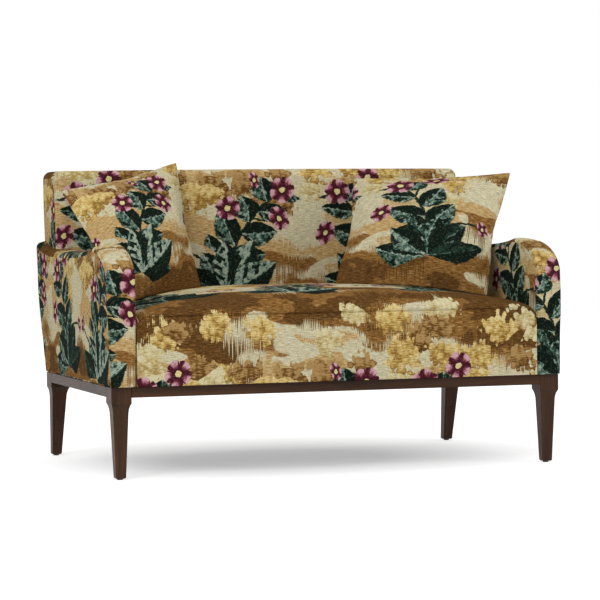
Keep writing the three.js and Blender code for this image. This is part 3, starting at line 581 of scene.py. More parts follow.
# Yarn colours of each part of the pattern, from its dark strokes to its light ones
STONE = [(0.28, "#aaa285"), (0.50, "#c0b897"), (0.72, "#d3cbab")]
TAN = [(0.28, "#98784b"), (0.50, "#b39562"), (0.72, "#cbb181")]
BROWN = [(0.28, "#5e3f1b"), (0.45, "#775227"), (0.58, "#8b6535"), (0.76, "#a88555")]
UMBER = [(0.30, "#472f15"), (0.55, "#5f401e"), (0.78, "#7d5b33")]
GOLD = [(0.37, "#84622f"), (0.40, "#a38343"), (0.52, "#aa8b49"), (0.55, "#c0a460"), (0.72, "#c6ab6a"),
        (0.76, "#d3bf88")]
STRAW = [(0.37, "#a08852"), (0.40, "#b9a874"), (0.60, "#bfaf7e"), (0.64, "#ccc39d")]
RUST = [(0.37, "#563a1a"), (0.40, "#6d4a23"), (0.58, "#785529"), (0.62, "#a38352")]
LEAF_GREEN = [(0.22, "#0f1b15"), (0.27, "#1a2d24"), (0.45, "#20372d"), (0.49, "#4a6155"), (0.63, "#566d60"),
              (0.68, "#85978b"), (0.90, "#9ca893")]
PLUM = [(0.10, "#451924"), (0.15, "#692d3c"), (0.38, "#723646"), (0.43, "#9d6472"), (0.66, "#a5707c"),
        (0.72, "#c49ba0")]
STALK_GREEN = "#1d2b22"
HEART_CREAM = "#cfc389"
STRAY_YARN = "#a0977a"


class Spray:
    """One spray of the woven pattern, laid out from its arched main stalk, in metres and degrees."""

    def __init__(self, base, turn, length, arch, lean_of_fans):
        self.base, self.turn, self.length, self.arch = base, turn, length, arch
        self.fans = [(turn, FAN_SIZES[0], 1.0), (turn + lean_of_fans, FAN_SIZES[1], 7.0)]
        self.stalks = [(base, turn, length, arch, MAIN_STALK_HALF)]
        self.blossoms = []

    def spot(self, stalk, t):
        """Place and heading on a stalk, a share t of the way along it."""
        (x, y), turn, length, arch, _ = stalk
        c, s = math.cos(math.radians(turn)), math.sin(math.radians(turn))
        along, side = t * length, 4 * arch * t * (1 - t)
        heading = turn + math.degrees(math.atan2(4 * arch * (1 - 2 * t), length))
        return (x + c * along - s * side, y + s * along + c * side), heading

    def flower(self, t, lean, stalk_length, size, turn, arch=0.0):
        """A blossom on a side stalk that leaves the main one at t; size is half its width and height."""
        place, heading = self.spot(self.stalks[0], t)
        if stalk_length:
            self.stalks.append((place, heading + lean, stalk_length, arch, SIDE_STALK_HALF))
            place, _ = self.spot(self.stalks[-1], 1.0)
        self.blossoms.append((place, size, turn))


def trailing_spray():
    """Long stalk that climbs to the right, with its blossoms on side stalks."""
    spray = Spray((0.120, 0.000), 58, 0.36, 0.042, 31)
    spray.flower(0.46, 52, 0.095, (0.043, 0.040), 10, 0.010)
    spray.flower(0.66, -52, 0.085, (0.033, 0.043), 35, -0.008)
    spray.flower(1.00, 0, 0.0, (0.046, 0.043), 60)
    spray.flower(0.84, 80, 0.078, (0.018, 0.029), 20, 0.008)
    spray.flower(0.22, 84, 0.165, (0.019, 0.030), -25, 0.020)
    return spray


def leafy_spray():
    """Shorter stalk that leans to the left, with three blossoms at its head and a bud low on the right."""
    spray = Spray((0.600, 0.020), 112, 0.30, -0.036, -31)
    spray.flower(1.00, 0, 0.0, (0.045, 0.042), 15)
    spray.flower(0.74, -58, 0.115, (0.044, 0.041), 50, 0.010)
    spray.flower(0.50, 68, 0.130, (0.032, 0.042), -30, 0.012)
    spray.flower(0.26, -84, 0.165, (0.019, 0.029), 30, 0.018)
    return spray


def weave_sprays(tree, wavy):
    """One spray of each kind in every repeat.

    Gives the distance to the nearest, and the covers and tones of stalks, leaves, blossoms and their hearts.
    """
    stem_shape, blossom_shape, leaf_shape = make_stem_shape(), make_blossom_shape(), make_leaf_shape()
    fan_shape, row_shape = make_fan_shape(leaf_shape), make_row_shape(leaf_shape)
    distance = stalks = leaves = flowers = hearts = None
    for spray, centre in ((trailing_spray(), (0.210, 0.170)), (leafy_spray(), (0.560, 0.160))):
        far_corner = (REPEAT_WIDE / 2 + centre[0], REPEAT_HIGH / 2 + centre[1], 1.0)
        near_corner = (centre[0] - REPEAT_WIDE / 2, centre[1] - REPEAT_HIGH / 2, -1.0)
        local = add(tree, VECTOR_MATH, {0: wavy, 1: far_corner, 2: near_corner}, operation="WRAP")
        around = add(tree, VECTOR_MATH, {0: local, 1: (*centre, 0.0)}, out="Value", operation="DISTANCE")
        distance = around if distance is None else add(
            tree, MATH, {0: distance, 1: around}, operation="MINIMUM")
        for base, turn, length, arch, half in spray.stalks:
            stalk = set_on_cloth(tree, stem_shape, local, base, turn, Size=(length, half, 1.0),
                                 Bend=-4 * arch / half)
            stalks = lay_over(tree, stalks, *stalk.outputs)
        row = set_on_cloth(tree, row_shape, local, spray.base, spray.turn, Length=spray.length,
                           Arch=-4 * spray.arch, Kind=40 * centre[0])
        leaves = lay_over(tree, leaves, *row.outputs)
        for turn, size, kind in spray.fans:
            fan = set_on_cloth(tree, fan_shape, local, spray.base, turn, Spread=FAN_SPREAD,
                               Size=(*size, 1.0), Kind=kind + centre[0])
            leaves = lay_over(tree, leaves, *fan.outputs)
        for place, size, turn in spray.blossoms:
            blossom = set_on_cloth(tree, blossom_shape, local, place, turn, Size=(*size, 1.0))
            flowers = lay_over(tree, flowers, *blossom.outputs[:2])
            hearts = lay_over(tree, hearts, blossom.outputs["Heart"])
    return distance, stalks[0], leaves, flowers, hearts[0]


def comb_outlines(tree, cloth, wavy):
    """Raises the cloth in narrow teeth, which give the banks and hills the comb edges of a woven outline.

    They stand for single warp threads, and are drawn 5 mm apart where the real ones are under 1 mm.
    """
    across = add(tree, "ShaderNodeSeparateXYZ", {0: cloth})
    thread = add(tree, MATH, {0: across, 1: 1 / COMB_PITCH}, operation="MULTIPLY")
    tooth = add(tree, MATH, {0: thread, 1: 0.5}, operation="PINGPONG")
    column = add(tree, MATH, {0: thread}, operation="FLOOR")
    column = add(tree, "ShaderNodeTexWhiteNoise", {"W": column}, noise_dimensions="1D")
    column = add(tree, MATH, {0: column, 1: 1.5, 2: 0.4}, operation="MULTIPLY_ADD")
    reach = add(tree, "ShaderNodeTexNoise", {"Vector": cloth, "Scale": 7.0, "Detail": 0.0},
                noise_dimensions="2D")
    reach = add(tree, "ShaderNodeMapRange", {0: reach, 1: 0.40, 2: 0.62, 4: COMB_REACH})
    tooth = add(tree, MATH, {0: tooth, 1: column}, operation="MULTIPLY")
    tooth = add(tree, MATH, {0: tooth, 1: reach}, operation="MULTIPLY")
    raised = add(tree, "ShaderNodeCombineXYZ", {1: tooth})
    return add(tree, VECTOR_MATH, {0: wavy, 1: raised}, operation="ADD")


def weave_ground(tree, cloth, combed, distance):
    """Pale ground with banks of brown earth between the sprays, and hills that rise out of them.

    Gives its colour, the short strokes that tint the yarns, and the soft slopes that shape it.
    """
    strokes_per_metre = (55.0, 400.0, 1.0)
    hills_per_metre = (3.2, 7.5, 1.0)
    slopes_per_metre = (6.5, 14.0, 1.0)
    yarn_edge = 0.007
    height = add(tree, "ShaderNodeSeparateXYZ", {0: cloth}, out="Y")
    turns = add(tree, MATH, {0: height, 1: 2 * math.pi / REPEAT_HIGH}, operation="MULTIPLY")
    level = add(tree, MATH, {0: turns, 1: 2 * math.pi * BANK_MIDDLE / REPEAT_HIGH}, operation="SUBTRACT")
    level = add(tree, MATH, {0: level}, operation="COSINE")
    stroke = add(tree, VECTOR_MATH, {0: cloth, 1: strokes_per_metre}, operation="MULTIPLY")
    stroke = add(tree, "ShaderNodeTexNoise", {"Vector": stroke, "Scale": 1.0, "Detail": 2.0},
                 noise_dimensions="2D")
    ragged = add(tree, MATH, {0: stroke, 1: 0.035}, operation="MULTIPLY")
    hills = add(tree, VECTOR_MATH, {0: combed, 1: hills_per_metre}, operation="MULTIPLY")
    hill = add(tree, "ShaderNodeTexNoise",
               {"Vector": hills, "Scale": 1.0, "Detail": 2.0, "Roughness": 0.5}, noise_dimensions="2D")
    bank = add(tree, MATH, {0: level, 1: 0.205, 2: hill}, operation="MULTIPLY_ADD")
    bank = add(tree, MATH, {0: bank, 1: ragged}, operation="ADD")
    slopes = add(tree, VECTOR_MATH, {0: combed, 1: slopes_per_metre, 2: (4.1, 7.7, 0.0)},
                 operation="MULTIPLY_ADD")
    slope = add(tree, "ShaderNodeTexNoise",
                {"Vector": slopes, "Scale": 1.0, "Detail": 2.0, "Roughness": 0.5}, noise_dimensions="2D")
    slope = add(tree, MATH, {0: slope, 1: ragged}, operation="ADD")
    stone, tan, brown, umber = (
        add(tree, "ShaderNodeValToRGB", {0: stroke}, stops=yarns) for yarns in (STONE, TAN, BROWN, UMBER))
    near = add(tree, MATH, {0: distance, 1: -0.70, 2: slope}, operation="MULTIPLY_ADD")
    deep = add(tree, MATH, {0: slope, 1: -0.60, 2: bank}, operation="MULTIPLY_ADD")
    covers = [add(tree, "ShaderNodeMapRange", {0: field, 1: start, 2: start + yarn_edge})
              for field, start in ((near, 0.425), (bank, 0.562), (deep, 0.385))]
    colour = lay_colours(tree, stone, *zip(covers, (tan, brown, umber)))
    return colour, stroke, slope


def weave_bushes(tree, wavy, stroke, slope):
    """Crowns about 100 mm wide whose margins break up into leaflets of 16 by 22 mm: cover and colour."""
    straw_from, rust_below = 0.66, 0.24
    leaflets = add(tree, VECTOR_MATH, {0: wavy, 1: LEAFLETS_PER_METRE}, operation="MULTIPLY")
    leaflets = add(tree, "ShaderNodeTexVoronoi", {"Vector": leaflets, "Scale": 1.0}, out=None,
                   voronoi_dimensions="2D", feature="F1")
    own_tone = add(tree, "ShaderNodeSeparateXYZ", {0: leaflets.outputs["Color"]})
    leaflets = add(tree, MATH, {0: 0.46, 1: leaflets.outputs["Distance"]}, operation="SUBTRACT")
    body = add(tree, MATH, {0: own_tone, 1: 0.34, 2: -0.12}, operation="MULTIPLY_ADD")
    body = add(tree, MATH, {0: leaflets, 1: 0.38, 2: body}, operation="MULTIPLY_ADD")
    body = add(tree, MATH, {0: stroke, 1: body}, operation="ADD")
    bushes = None
    for wide, high, shift, plenty in ((0.125, 0.100, (3.7, 1.9), 0.20), (0.105, 0.092, (0.4, 6.3), 0.16)):
        crowns = add(tree, VECTOR_MATH, {0: wavy, 1: (1 / wide, 1 / high, 1.0), 2: (*shift, 0.0)},
                     operation="MULTIPLY_ADD")
        crown = add(tree, "ShaderNodeTexVoronoi", {"Vector": crowns, "Scale": 1.0}, out=None,
                    voronoi_dimensions="2D", feature="F1")
        middle = add(tree, "ShaderNodeSeparateXYZ", {0: crown.outputs["Position"]}, out="Y")
        turn_per_crown = 2 * math.pi * high / REPEAT_HIGH
        first_turn = 2 * math.pi * (BUSH_MIDDLE + shift[1] * high) / REPEAT_HIGH
        level = add(tree, MATH, {0: middle, 1: turn_per_crown, 2: -first_turn}, operation="MULTIPLY_ADD")
        chance = add(tree, "ShaderNodeSeparateXYZ", {0: crown.outputs["Color"]}, out=None)
        grows = add(tree, MATH, {0: level}, operation="COSINE")
        grows = add(tree, MATH, {0: grows, 1: 0.82, 2: plenty}, operation="MULTIPLY_ADD")
        grows = add(tree, MATH, {0: grows, 1: chance.outputs[0]}, operation="GREATER_THAN")
        offset = add(tree, VECTOR_MATH, {0: crowns, 1: crown.outputs["Position"]}, operation="SUBTRACT")
        rise = add(tree, "ShaderNodeSeparateXYZ", {0: offset}, out="Y")
        margin = add(tree, MATH, {0: slope, 1: 0.9, 2: -0.02}, operation="MULTIPLY_ADD")
        margin = add(tree, MATH, {0: margin, 1: crown.outputs["Distance"]}, operation="SUBTRACT")
        margin = add(tree, MATH, {0: margin, 1: 2.6, 2: leaflets}, operation="MULTIPLY_ADD")
        inside = add(tree, MATH, {0: margin, 1: 0.10}, operation="GREATER_THAN")
        cover = add(tree, MATH, {0: inside, 1: grows}, operation="MULTIPLY")
        tone = add(tree, MATH, {0: rise, 1: 0.42, 2: body}, operation="MULTIPLY_ADD")
        bushes = lay_over(tree, bushes, cover, tone, chance.outputs[1])
    cover, tone, kind = bushes
    gold, straw, rust = (
        add(tree, "ShaderNodeValToRGB", {0: tone}, stops=yarns) for yarns in (GOLD, STRAW, RUST))
    to_straw = add(tree, MATH, {0: kind, 1: straw_from}, operation="GREATER_THAN")
    to_rust = add(tree, MATH, {0: kind, 1: rust_below}, operation="LESS_THAN")
    return cover, lay_colours(tree, gold, (to_straw, straw), (to_rust, rust))


def make_floral_verdure():
    """The whole woven pattern, as a colour for every place on the cloth."""
    tree, enter, leave = open_group("floral_verdure", [("Cloth", VECTOR)], [("Color", "NodeSocketColor")])
    cloth = enter.outputs["Cloth"]

    # Yarn steps wander a couple of millimetres along every outline, in waves about 11 mm long.
    drift = add(tree, "ShaderNodeTexNoise", {"Vector": cloth, "Scale": 90.0, "Detail": 2.0}, out="Color",
                noise_dimensions="2D")
    drift = add(tree, VECTOR_MATH, {0: drift, 1: (0.5, 0.5, 0.5)}, operation="SUBTRACT")
    wavy = add(tree, VECTOR_MATH, {0: drift, 1: (DRIFT, DRIFT, 0.0), 2: cloth}, operation="MULTIPLY_ADD")
    fleck = add(tree, "ShaderNodeTexNoise",
                {"Vector": cloth, "Scale": 75.0, "Detail": 3.0, "Roughness": 0.7}, noise_dimensions="2D")
    fleck = add(tree, "ShaderNodeMapRange", {0: fleck, 1: 0.30, 2: 0.70})

    distance, stalk_cover, leaves, flowers, heart_cover = weave_sprays(tree, wavy)
    combed = comb_outlines(tree, cloth, wavy)
    colour, stroke, slope = weave_ground(tree, cloth, combed, distance)
    colour = lay_colours(tree, colour, weave_bushes(tree, wavy, stroke, slope))

    # Light yarns break up where they cross the dark leaves and petals.
    broken = add(tree, MATH, {0: fleck, 1: 0.9, 2: 0.50}, operation="MULTIPLY_ADD")
    layers = [(stalk_cover, paint(STALK_GREEN))]
    for (cover, tone), yarns in ((leaves, LEAF_GREEN), (flowers, PLUM)):
        tone = add(tree, MATH, {0: tone, 1: broken}, operation="MULTIPLY", use_clamp=True)
        layers.append((cover, add(tree, "ShaderNodeValToRGB", {0: tone}, stops=yarns)))
    layers.append((heart_cover, paint(HEART_CREAM)))
    return close_group(tree, leave, Color=lay_colours(tree, colour, *layers))


RIB_PITCH, PICK_PITCH = 0.0030, 0.0022


def make_tapestry(name, pattern):
    """Jacquard tapestry, woven in wool and cotton: matt, with upright ribs crossed by short weft floats.

    The eye sees a soft cloth of mixed yarns without a shine. Real ribs are about 1 mm apart, which is too
    fine to show at this size, so they are drawn 3 mm apart.
    """
    material, tree = blank_material(name)
    cloth = add(tree, "ShaderNodeUVMap", uv_map="cloth")
    woven = add(tree, "ShaderNodeGroup", {"Cloth": cloth}, node_tree=pattern)
    picks = add(tree, VECTOR_MATH, {0: cloth, 1: (1 / RIB_PITCH, 1 / PICK_PITCH, 1.0)},
                operation="MULTIPLY")
    cell = add(tree, VECTOR_MATH, {0: picks}, operation="FLOOR")
    yarn = add(tree, "ShaderNodeTexWhiteNoise", {0: cell}, noise_dimensions="2D")
    shade = add(tree, "ShaderNodeMapRange", {0: yarn, 3: 0.85, 4: 1.15})
    colour = add(tree, VECTOR_MATH, {0: woven, "Scale": shade}, operation="SCALE")
    stray = add(tree, "ShaderNodeMapRange", {0: yarn, 1: 0.88, 2: 1.0, 4: 0.16})
    colour = lay_colours(tree, colour, (stray, paint(STRAY_YARN)))
    parts = add(tree, "ShaderNodeSeparateXYZ", {0: picks}, out=None)
    rib = add(tree, MATH, {0: parts.outputs[0], 1: 2 * math.pi}, operation="MULTIPLY")
    rib = add(tree, MATH, {0: rib}, operation="SINE")
    pick = add(tree, MATH, {0: parts.outputs[1], 1: math.pi}, operation="MULTIPLY")
    pick = add(tree, MATH, {0: pick}, operation="SINE")
    pick = add(tree, MATH, {0: pick}, operation="ABSOLUTE")
    height = add(tree, MATH, {0: rib, 1: 0.35, 2: pick}, operation="MULTIPLY_ADD")
    height = add(tree, MATH, {0: yarn, 1: 0.5, 2: height}, operation="MULTIPLY_ADD")
    bump = add(tree, "ShaderNodeBump", {"Height": height, "Strength": 0.35, "Distance": 0.0007})
    shader = add(tree, "ShaderNodeBsdfPrincipled",
                 {"Base Color": colour, "Roughness": 0.88, "IOR": 1.45, "Specular IOR Level": 0.03,
                  "Normal": bump})
    add(tree, "ShaderNodeOutputMaterial", {"Surface": shader})
    return material


def make_stained_wood(name, grain_axis):
    """Planed beech, stained to a dark walnut and satin lacquered, its pores running along one axis.

    The eye sees a deep brown with slow bands about 40 mm wide and a broken satin shine. The pores are drawn
    as streaks 1.6 mm wide, because the real ones, under 0.1 mm, are too fine to show.
    """
    bands_along, bands_across, pores_along, pores_across = 1.6, 26.0, 14.0, 620.0
    material, tree = blank_material(name)
    place = add(tree, "ShaderNodeTexCoord", out="Object")
    figure_size = tuple(bands_along if axis == grain_axis else bands_across for axis in range(3))
    pore_size = tuple(pores_along if axis == grain_axis else pores_across for axis in range(3))
    figure = add(tree, VECTOR_MATH, {0: place, 1: figure_size}, operation="MULTIPLY")
    figure = add(tree, "ShaderNodeTexNoise",
                 {"Vector": figure, "Scale": 1.0, "Detail": 4.0, "Roughness": 0.6, "Distortion": 0.6})
    pores = add(tree, VECTOR_MATH, {0: place, 1: pore_size}, operation="MULTIPLY")
    pores = add(tree, "ShaderNodeTexNoise",
                {"Vector": pores, "Scale": 1.0, "Detail": 2.0, "Roughness": 0.65})
    stain = add(tree, "ShaderNodeValToRGB", {0: figure},
                stops=[(0.28, "#2a190e"), (0.48, "#3a2516"), (0.66, "#492f1d"), (0.80, "#563924")])
    pitted = add(tree, "ShaderNodeMapRange", {0: pores, 1: 0.34, 2: 0.52, 3: 0.72, 4: 1.06})
    colour = add(tree, VECTOR_MATH, {0: stain, "Scale": pitted}, operation="SCALE")
    gloss = add(tree, "ShaderNodeMapRange", {0: pores, 1: 0.3, 2: 0.7, 3: 0.50, 4: 0.36})
    bump = add(tree, "ShaderNodeBump", {"Height": pores, "Strength": 0.25, "Distance": 0.0003})
    shader = add(tree, "ShaderNodeBsdfPrincipled",
                 {"Base Color": colour, "Roughness": gloss, "IOR": 1.5, "Specular IOR Level": 0.15,
                  "Normal": bump})
    add(tree, "ShaderNodeOutputMaterial", {"Surface": shader})
    return material


def make_plain(name, light, dark, grain, roughness, depth, metallic=0.0, sheen=0.0):
    """A plain finish with the mottle, grain or pile of the real stuff.

    grain is the number of its specks or streaks in a metre along X, Y and Z, and depth their relief.
    """
    material, tree = blank_material(name)
    place = add(tree, "ShaderNodeTexCoord", out="Object")
    sized = add(tree, VECTOR_MATH, {0: place, 1: grain}, operation="MULTIPLY")
    mottle = add(tree, "ShaderNodeTexNoise", {"Vector": sized, "Scale": 1.0, "Detail": 3.0})
    colour = add(tree, "ShaderNodeValToRGB", {0: mottle}, stops=[(0.32, dark), (0.68, light)])
    rough = add(tree, "ShaderNodeMapRange",
                {0: mottle, 1: 0.3, 2: 0.7, 3: roughness - 0.06, 4: roughness + 0.06})
    bump = add(tree, "ShaderNodeBump", {"Height": mottle, "Strength": 0.4, "Distance": depth})
    shader = add(tree, "ShaderNodeBsdfPrincipled",
                 {"Base Color": colour, "Roughness": rough, "Metallic": metallic, "Sheen Weight": sheen,
                  "Normal": bump})
    add(tree, "ShaderNodeOutputMaterial", {"Surface": shader})
    return material


tapestry = make_tapestry("jacquard_tapestry", make_floral_verdure())

# Upholstered arms

ARM_ACROSS, ARM_ALONG, ARM_UPRIGHT = 9, 130, 26
ARM_CROWN = 0.0012
ARM_ROLL = 2.0
ARM_SWELL, ARM_SWELL_SIZE, ARM_SWELL_MARGIN = 0.0012, 0.11, 0.010
ARM_DRAW_IN, ARM_DRAW_IN_Z, ARM_DRAW_IN_HEIGHT = 0.0085, 0.500, 0.245


def panel_cloth(axis_sign, shift):
    """Cloth coordinates of a side face: cloth runs along Y, the right way up for someone who faces it."""
    return lambda p, arc: np.stack([axis_sign * p[..., 1] + shift[0], p[..., 2] + shift[1]], axis=-1)


def front_cloth(shift):
    """Cloth coordinates of a front face, which run along X and Z."""
    return lambda p, arc: np.stack([p[..., 0] + shift[0], p[..., 2] + shift[1]], axis=-1)


def wrapped_cloth(shift):
    """Cloth coordinates of a band that follows the outline round."""
    return lambda p, arc: np.stack([p[..., 0] + shift[0], arc + shift[1]], axis=-1)


def upholster_arm(side, name, shifts):
    """One arm, from its outline in the Y-Z plane; side is -1 at the left and 1 at the right."""
    low_z = BODY_BOTTOM - BOTTOM_LAP
    front = even_points([(FRONT_Y, low_z), (FRONT_Y, ARM_NOSE_Z)], ARM_UPRIGHT)
    top = even_points(arm_roll, ARM_ALONG)
    rear_z = np.linspace(low_z, rear_corner_z, ARM_UPRIGHT)
    rear = np.stack([back_rear_y(rear_z), rear_z], axis=1)
    bottom = even_points([front[0], rear[0]], ARM_ALONG)
    low_x, high_x = (ARM_INNER_X, ARM_OUTER_X) if side > 0 else (-ARM_OUTER_X, -ARM_INNER_X)
    outside, inside = ("high", "low") if side > 0 else ("low", "high")
    cloth = {place: wrapped_cloth(shifts["band"]) for place in ("front", "top", "rear", "bottom")}
    cloth[outside] = panel_cloth(side, shifts["outside"])
    cloth[inside] = panel_cloth(-side, shifts["inside"])
    panels = slab_panels((front, top, rear, bottom), low_x, high_x, ARM_EDGE_RADIUS, ARM_ACROSS, cloth,
                         crown=ARM_CROWN, roll=ARM_ROLL)
    piece = sew(name, panels, tapestry)

    # The outside swells unevenly and draws in towards the bottom.
    points = np.array([v.co for v in piece.data.vertices])
    swell = ARM_SWELL * ripple(points, ARM_SWELL_SIZE, side * 3.0)
    drawn_in = ARM_DRAW_IN * np.clip((ARM_DRAW_IN_Z - points[:, 2]) / ARM_DRAW_IN_HEIGHT, 0.0, 1.0)
    outer = eased_share(np.abs(points[:, 0]), ARM_INNER_X + ARM_SWELL_MARGIN, ARM_OUTER_X)
    points[:, 0] += side * outer * (swell - drawn_in)
    place_points(piece.data, points)
    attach(piece, "settee")
    return piece


left_arm = upholster_arm(-1, "left_arm_upholstery", {
    "band": (0.905, 0.01), "outside": (-0.18, -0.27), "inside": (0.35, -0.35),
})
right_arm = upholster_arm(1, "right_arm_upholstery", {
    "band": (-0.066, 0.03), "outside": (0.33, -0.27), "inside": (0.28, -0.35),
})
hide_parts("left_arm_cover", "left_arm_foam")
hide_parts("right_arm_cover", "right_arm_foam")

# Upholstered back

BACK_ACROSS, BACK_UPRIGHT, BACK_CORNER_POINTS, BACK_TOP_POINTS = 120, 70, 10, 14
BACK_CROWN = 0.002
BACK_SEAM_DEPTH = 0.002
CUT_CREASE_ANGLE = math.radians(50)


def upholster_back():
    """The back, from its outline in the Y-Z plane."""
    low_z, corner_z = BODY_BOTTOM - BOTTOM_LAP, BACK_TOP - BACK_TOP_RADIUS
    upright_z = np.linspace(low_z, corner_z, BACK_UPRIGHT)
    front = np.stack([back_front_y(upright_z), upright_z], axis=1)
    rear = np.stack([back_rear_y(upright_z), upright_z], axis=1)
    front_corner, rear_corner = (
        quarter_round((y, corner_z), BACK_TOP_RADIUS, BACK_TOP_RADIUS, start, end, BACK_CORNER_POINTS)
        for y, start, end in ((front[-1, 0] + BACK_TOP_RADIUS, 180, 90), (REAR_Y - BACK_TOP_RADIUS, 90, 0)))
    level = even_points([front_corner[-1], rear_corner[0]], BACK_TOP_POINTS)
    top = np.concatenate([front_corner, level[1:-1], rear_corner])
    bottom = np.linspace(front[0], rear[0], len(top))
    cloth = {
        "front": front_cloth((0.245, -0.49)),
        "top": wrapped_cloth((0.245, -0.242)),
        "rear": lambda p, arc: np.stack([0.35 - p[..., 0], p[..., 2] - 0.31], axis=-1),
        "bottom": wrapped_cloth((0.0, 0.0)),
        "low": panel_cloth(-1, (0.45, -0.49)),
        "high": panel_cloth(1, (0.20, -0.49)),
    }
    panels = slab_panels((front, top, rear, bottom), -BACK_HALF_WIDTH, BACK_HALF_WIDTH, BACK_EDGE_RADIUS,
                         BACK_ACROSS, cloth, crown=BACK_CROWN, seam_depth=BACK_SEAM_DEPTH)
    return sew("back_upholstery", panels, tapestry)


def cut_to_arms(piece):
    """Cuts the piece back to both arms, so that it rests on them and passes between them."""
    for arm in (left_arm, right_arm):
        cutter = arm.copy()
        cutter.data = arm.data.copy()
        bpy.context.scene.collection.objects.link(cutter)
        normals = np.array([v.normal for v in cutter.data.vertices])
        points = np.array([v.co for v in cutter.data.vertices])
        place_points(cutter.data, points + REST_GAP * normals)
        cut = piece.modifiers.new("cut", "BOOLEAN")
        cut.operation, cut.solver, cut.object = "DIFFERENCE", "EXACT", cutter
        graph = bpy.context.evaluated_depsgraph_get()
        shaped = bpy.data.meshes.new_from_object(piece.evaluated_get(graph), depsgraph=graph)
        piece.modifiers.remove(cut)
        piece.data = shaped
        bpy.data.objects.remove(cutter)
    piece.data.set_sharp_from_angle(angle=CUT_CREASE_ANGLE)


back = upholster_back()
cut_to_arms(back)
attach(back, "settee")
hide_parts("inside_back_cover", "outside_back_cover", "back_foam", "back_rear_pad",
            "back_left_side_pad", "back_right_side_pad")

# Upholstered seat

SEAT_STATIONS, ROLL_ROWS, CROWN_ROWS, BORDER_ROWS, HIDDEN_ROWS = 181, 20, 34, 26, 8
STATION_CROWDING, ROLL_CROWDING = 1.25, 1.3
SEAT_REAR_Y = 0.2745
SEAT_CLOTH_SHIFT = (0.24, 0.054)
BORDER_BULGE, BORDER_BULGE_END_X, BORDER_BULGE_POWER = 0.0022, 0.6, 6
SEAM_PULL, SEAM_PULL_WIDTH = 0.0062, 0.0034
PUCKER_DEPTH, PUCKER_REACH = 0.0013, 0.016
PUCKER_SIZES = ((0.017, 5.0), (0.05, 9.0))


def section(x, ys, zs):
    """Points of one section of the seat at a place across it."""
    ys, zs = np.broadcast_arrays(ys, zs)
    return np.stack([np.full(len(ys), x), ys, zs], axis=1)


def pucker_seam(grid, from_seam):
    """Pulls the cloth in along the seam, which puckers it beside the seam."""
    along = grid * np.array([1.0, 0.0, 0.0])
    pucker = sum(ripple(along, size, shift) for size, shift in PUCKER_SIZES)
    near = np.exp(-from_seam / PUCKER_REACH)
    sunk = np.exp(-(from_seam / SEAM_PULL_WIDTH) ** 2)
    grid[..., 1] += SEAM_PULL * sunk - PUCKER_DEPTH * pucker * near * (1 - sunk)


def upholster_seat():
    """Crown, front border and hidden sides from one set of fore-and-aft sections."""
    share = np.linspace(-1.0, 1.0, SEAT_STATIONS)
    stations = SEAT_HALF_WIDTH * np.sign(share) * (1.0 - (1.0 - np.abs(share)) ** STATION_CROWDING)
    turn = np.linspace(0.0, 1.0, ROLL_ROWS)[1:] ** ROLL_CROWDING
    roll_y = FRONT_Y + SEAT_ROLL_DEPTH * (1.0 - np.cos(turn * math.pi / 2))
    crown_y = np.linspace(roll_y[-1], SEAT_REAR_Y, CROWN_ROWS)[1:]
    border_share = np.linspace(0.0, 1.0, BORDER_ROWS)
    crown, border, rear, base = [], [], [], []
    for x in stations:
        ys = np.concatenate([[FRONT_Y], roll_y, crown_y])
        zs = seat_top_z(x, ys)
        ys[-1] = back_front_y(zs[-1]) - REST_GAP
        crown.append(section(x, ys, zs))
        border_z = BODY_BOTTOM + (float(seat_seam_z(x)) - BODY_BOTTOM) * border_share
        fullness = 1 - (abs(x) / BORDER_BULGE_END_X) ** BORDER_BULGE_POWER
        bulge = BORDER_BULGE * np.sin(math.pi * border_share) * fullness
        border.append(section(x, FRONT_Y - bulge, border_z))
        rear_z = np.linspace(zs[-1], BODY_BOTTOM, HIDDEN_ROWS)
        rear.append(section(x, back_front_y(rear_z) - REST_GAP, rear_z))
        base.append(section(x, np.linspace(rear[-1][-1, 1], FRONT_Y, HIDDEN_ROWS), BODY_BOTTOM))
    crown, border, rear, base = (np.array(grid) for grid in (crown, border, rear, base))
    steps = np.linalg.norm(np.diff(crown, axis=1), axis=2)
    arc = np.concatenate([np.zeros((len(stations), 1)), np.cumsum(steps, axis=1)], axis=1)
    across, up = SEAT_CLOTH_SHIFT
    crown_uv = np.stack([crown[..., 0] + across, arc + SEAT_SEAM + up], axis=-1)
    border_uv = np.stack([border[..., 0] + across, border[..., 2] + up], axis=-1)
    pucker_seam(crown, arc)
    pucker_seam(border, np.abs(border[..., 2] - border[:, -1:, 2]))
    hidden = [(grid, np.zeros(grid.shape[:2] + (2,))) for grid in (rear, base)]
    return sew("seat_upholstery", [(crown, crown_uv), (border, border_uv), *hidden], tapestry)


seat = upholster_seat()
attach(seat, "settee")
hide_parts("seat_cover", "seat_foam", "front_border_pad")

# Loose scatter cushions

CUSHION_SIDE = 0.47
CUSHION_CELLS = 44
CUSHION_HALF_THICKNESS = 0.062
FLAT_PUFF = 0.016
FILLING = {
    "quality": 8, "mass": 0.35, "tension_stiffness": 25, "compression_stiffness": 25, "shear_stiffness": 12,
    "bending_stiffness": 0.6, "use_pressure": True, "uniform_pressure_force": 4.0,
}
FILLING_FRAMES = 24
DRAW_IN_SHARE = 0.22
GATHER_REACH, GATHER_SIZE, GATHER_DEPTH = 0.018, 0.022, 0.0022
RIM_WAVE_SIZE, RIM_WAVE = 0.018, 0.012
RIM_STRETCH = 1.012
# How far beyond the sides of the back and the arms a cushion is still kept clear of them
BESIDE_BACK, BESIDE_ARM = 0.01, 0.02


def point_key(i, j, face):
    """Names a point of the sewn panels, which share the points of their rim."""
    on_rim = i in (0, CUSHION_CELLS) or j in (0, CUSHION_CELLS)
    return i, j, 0 if on_rim else face


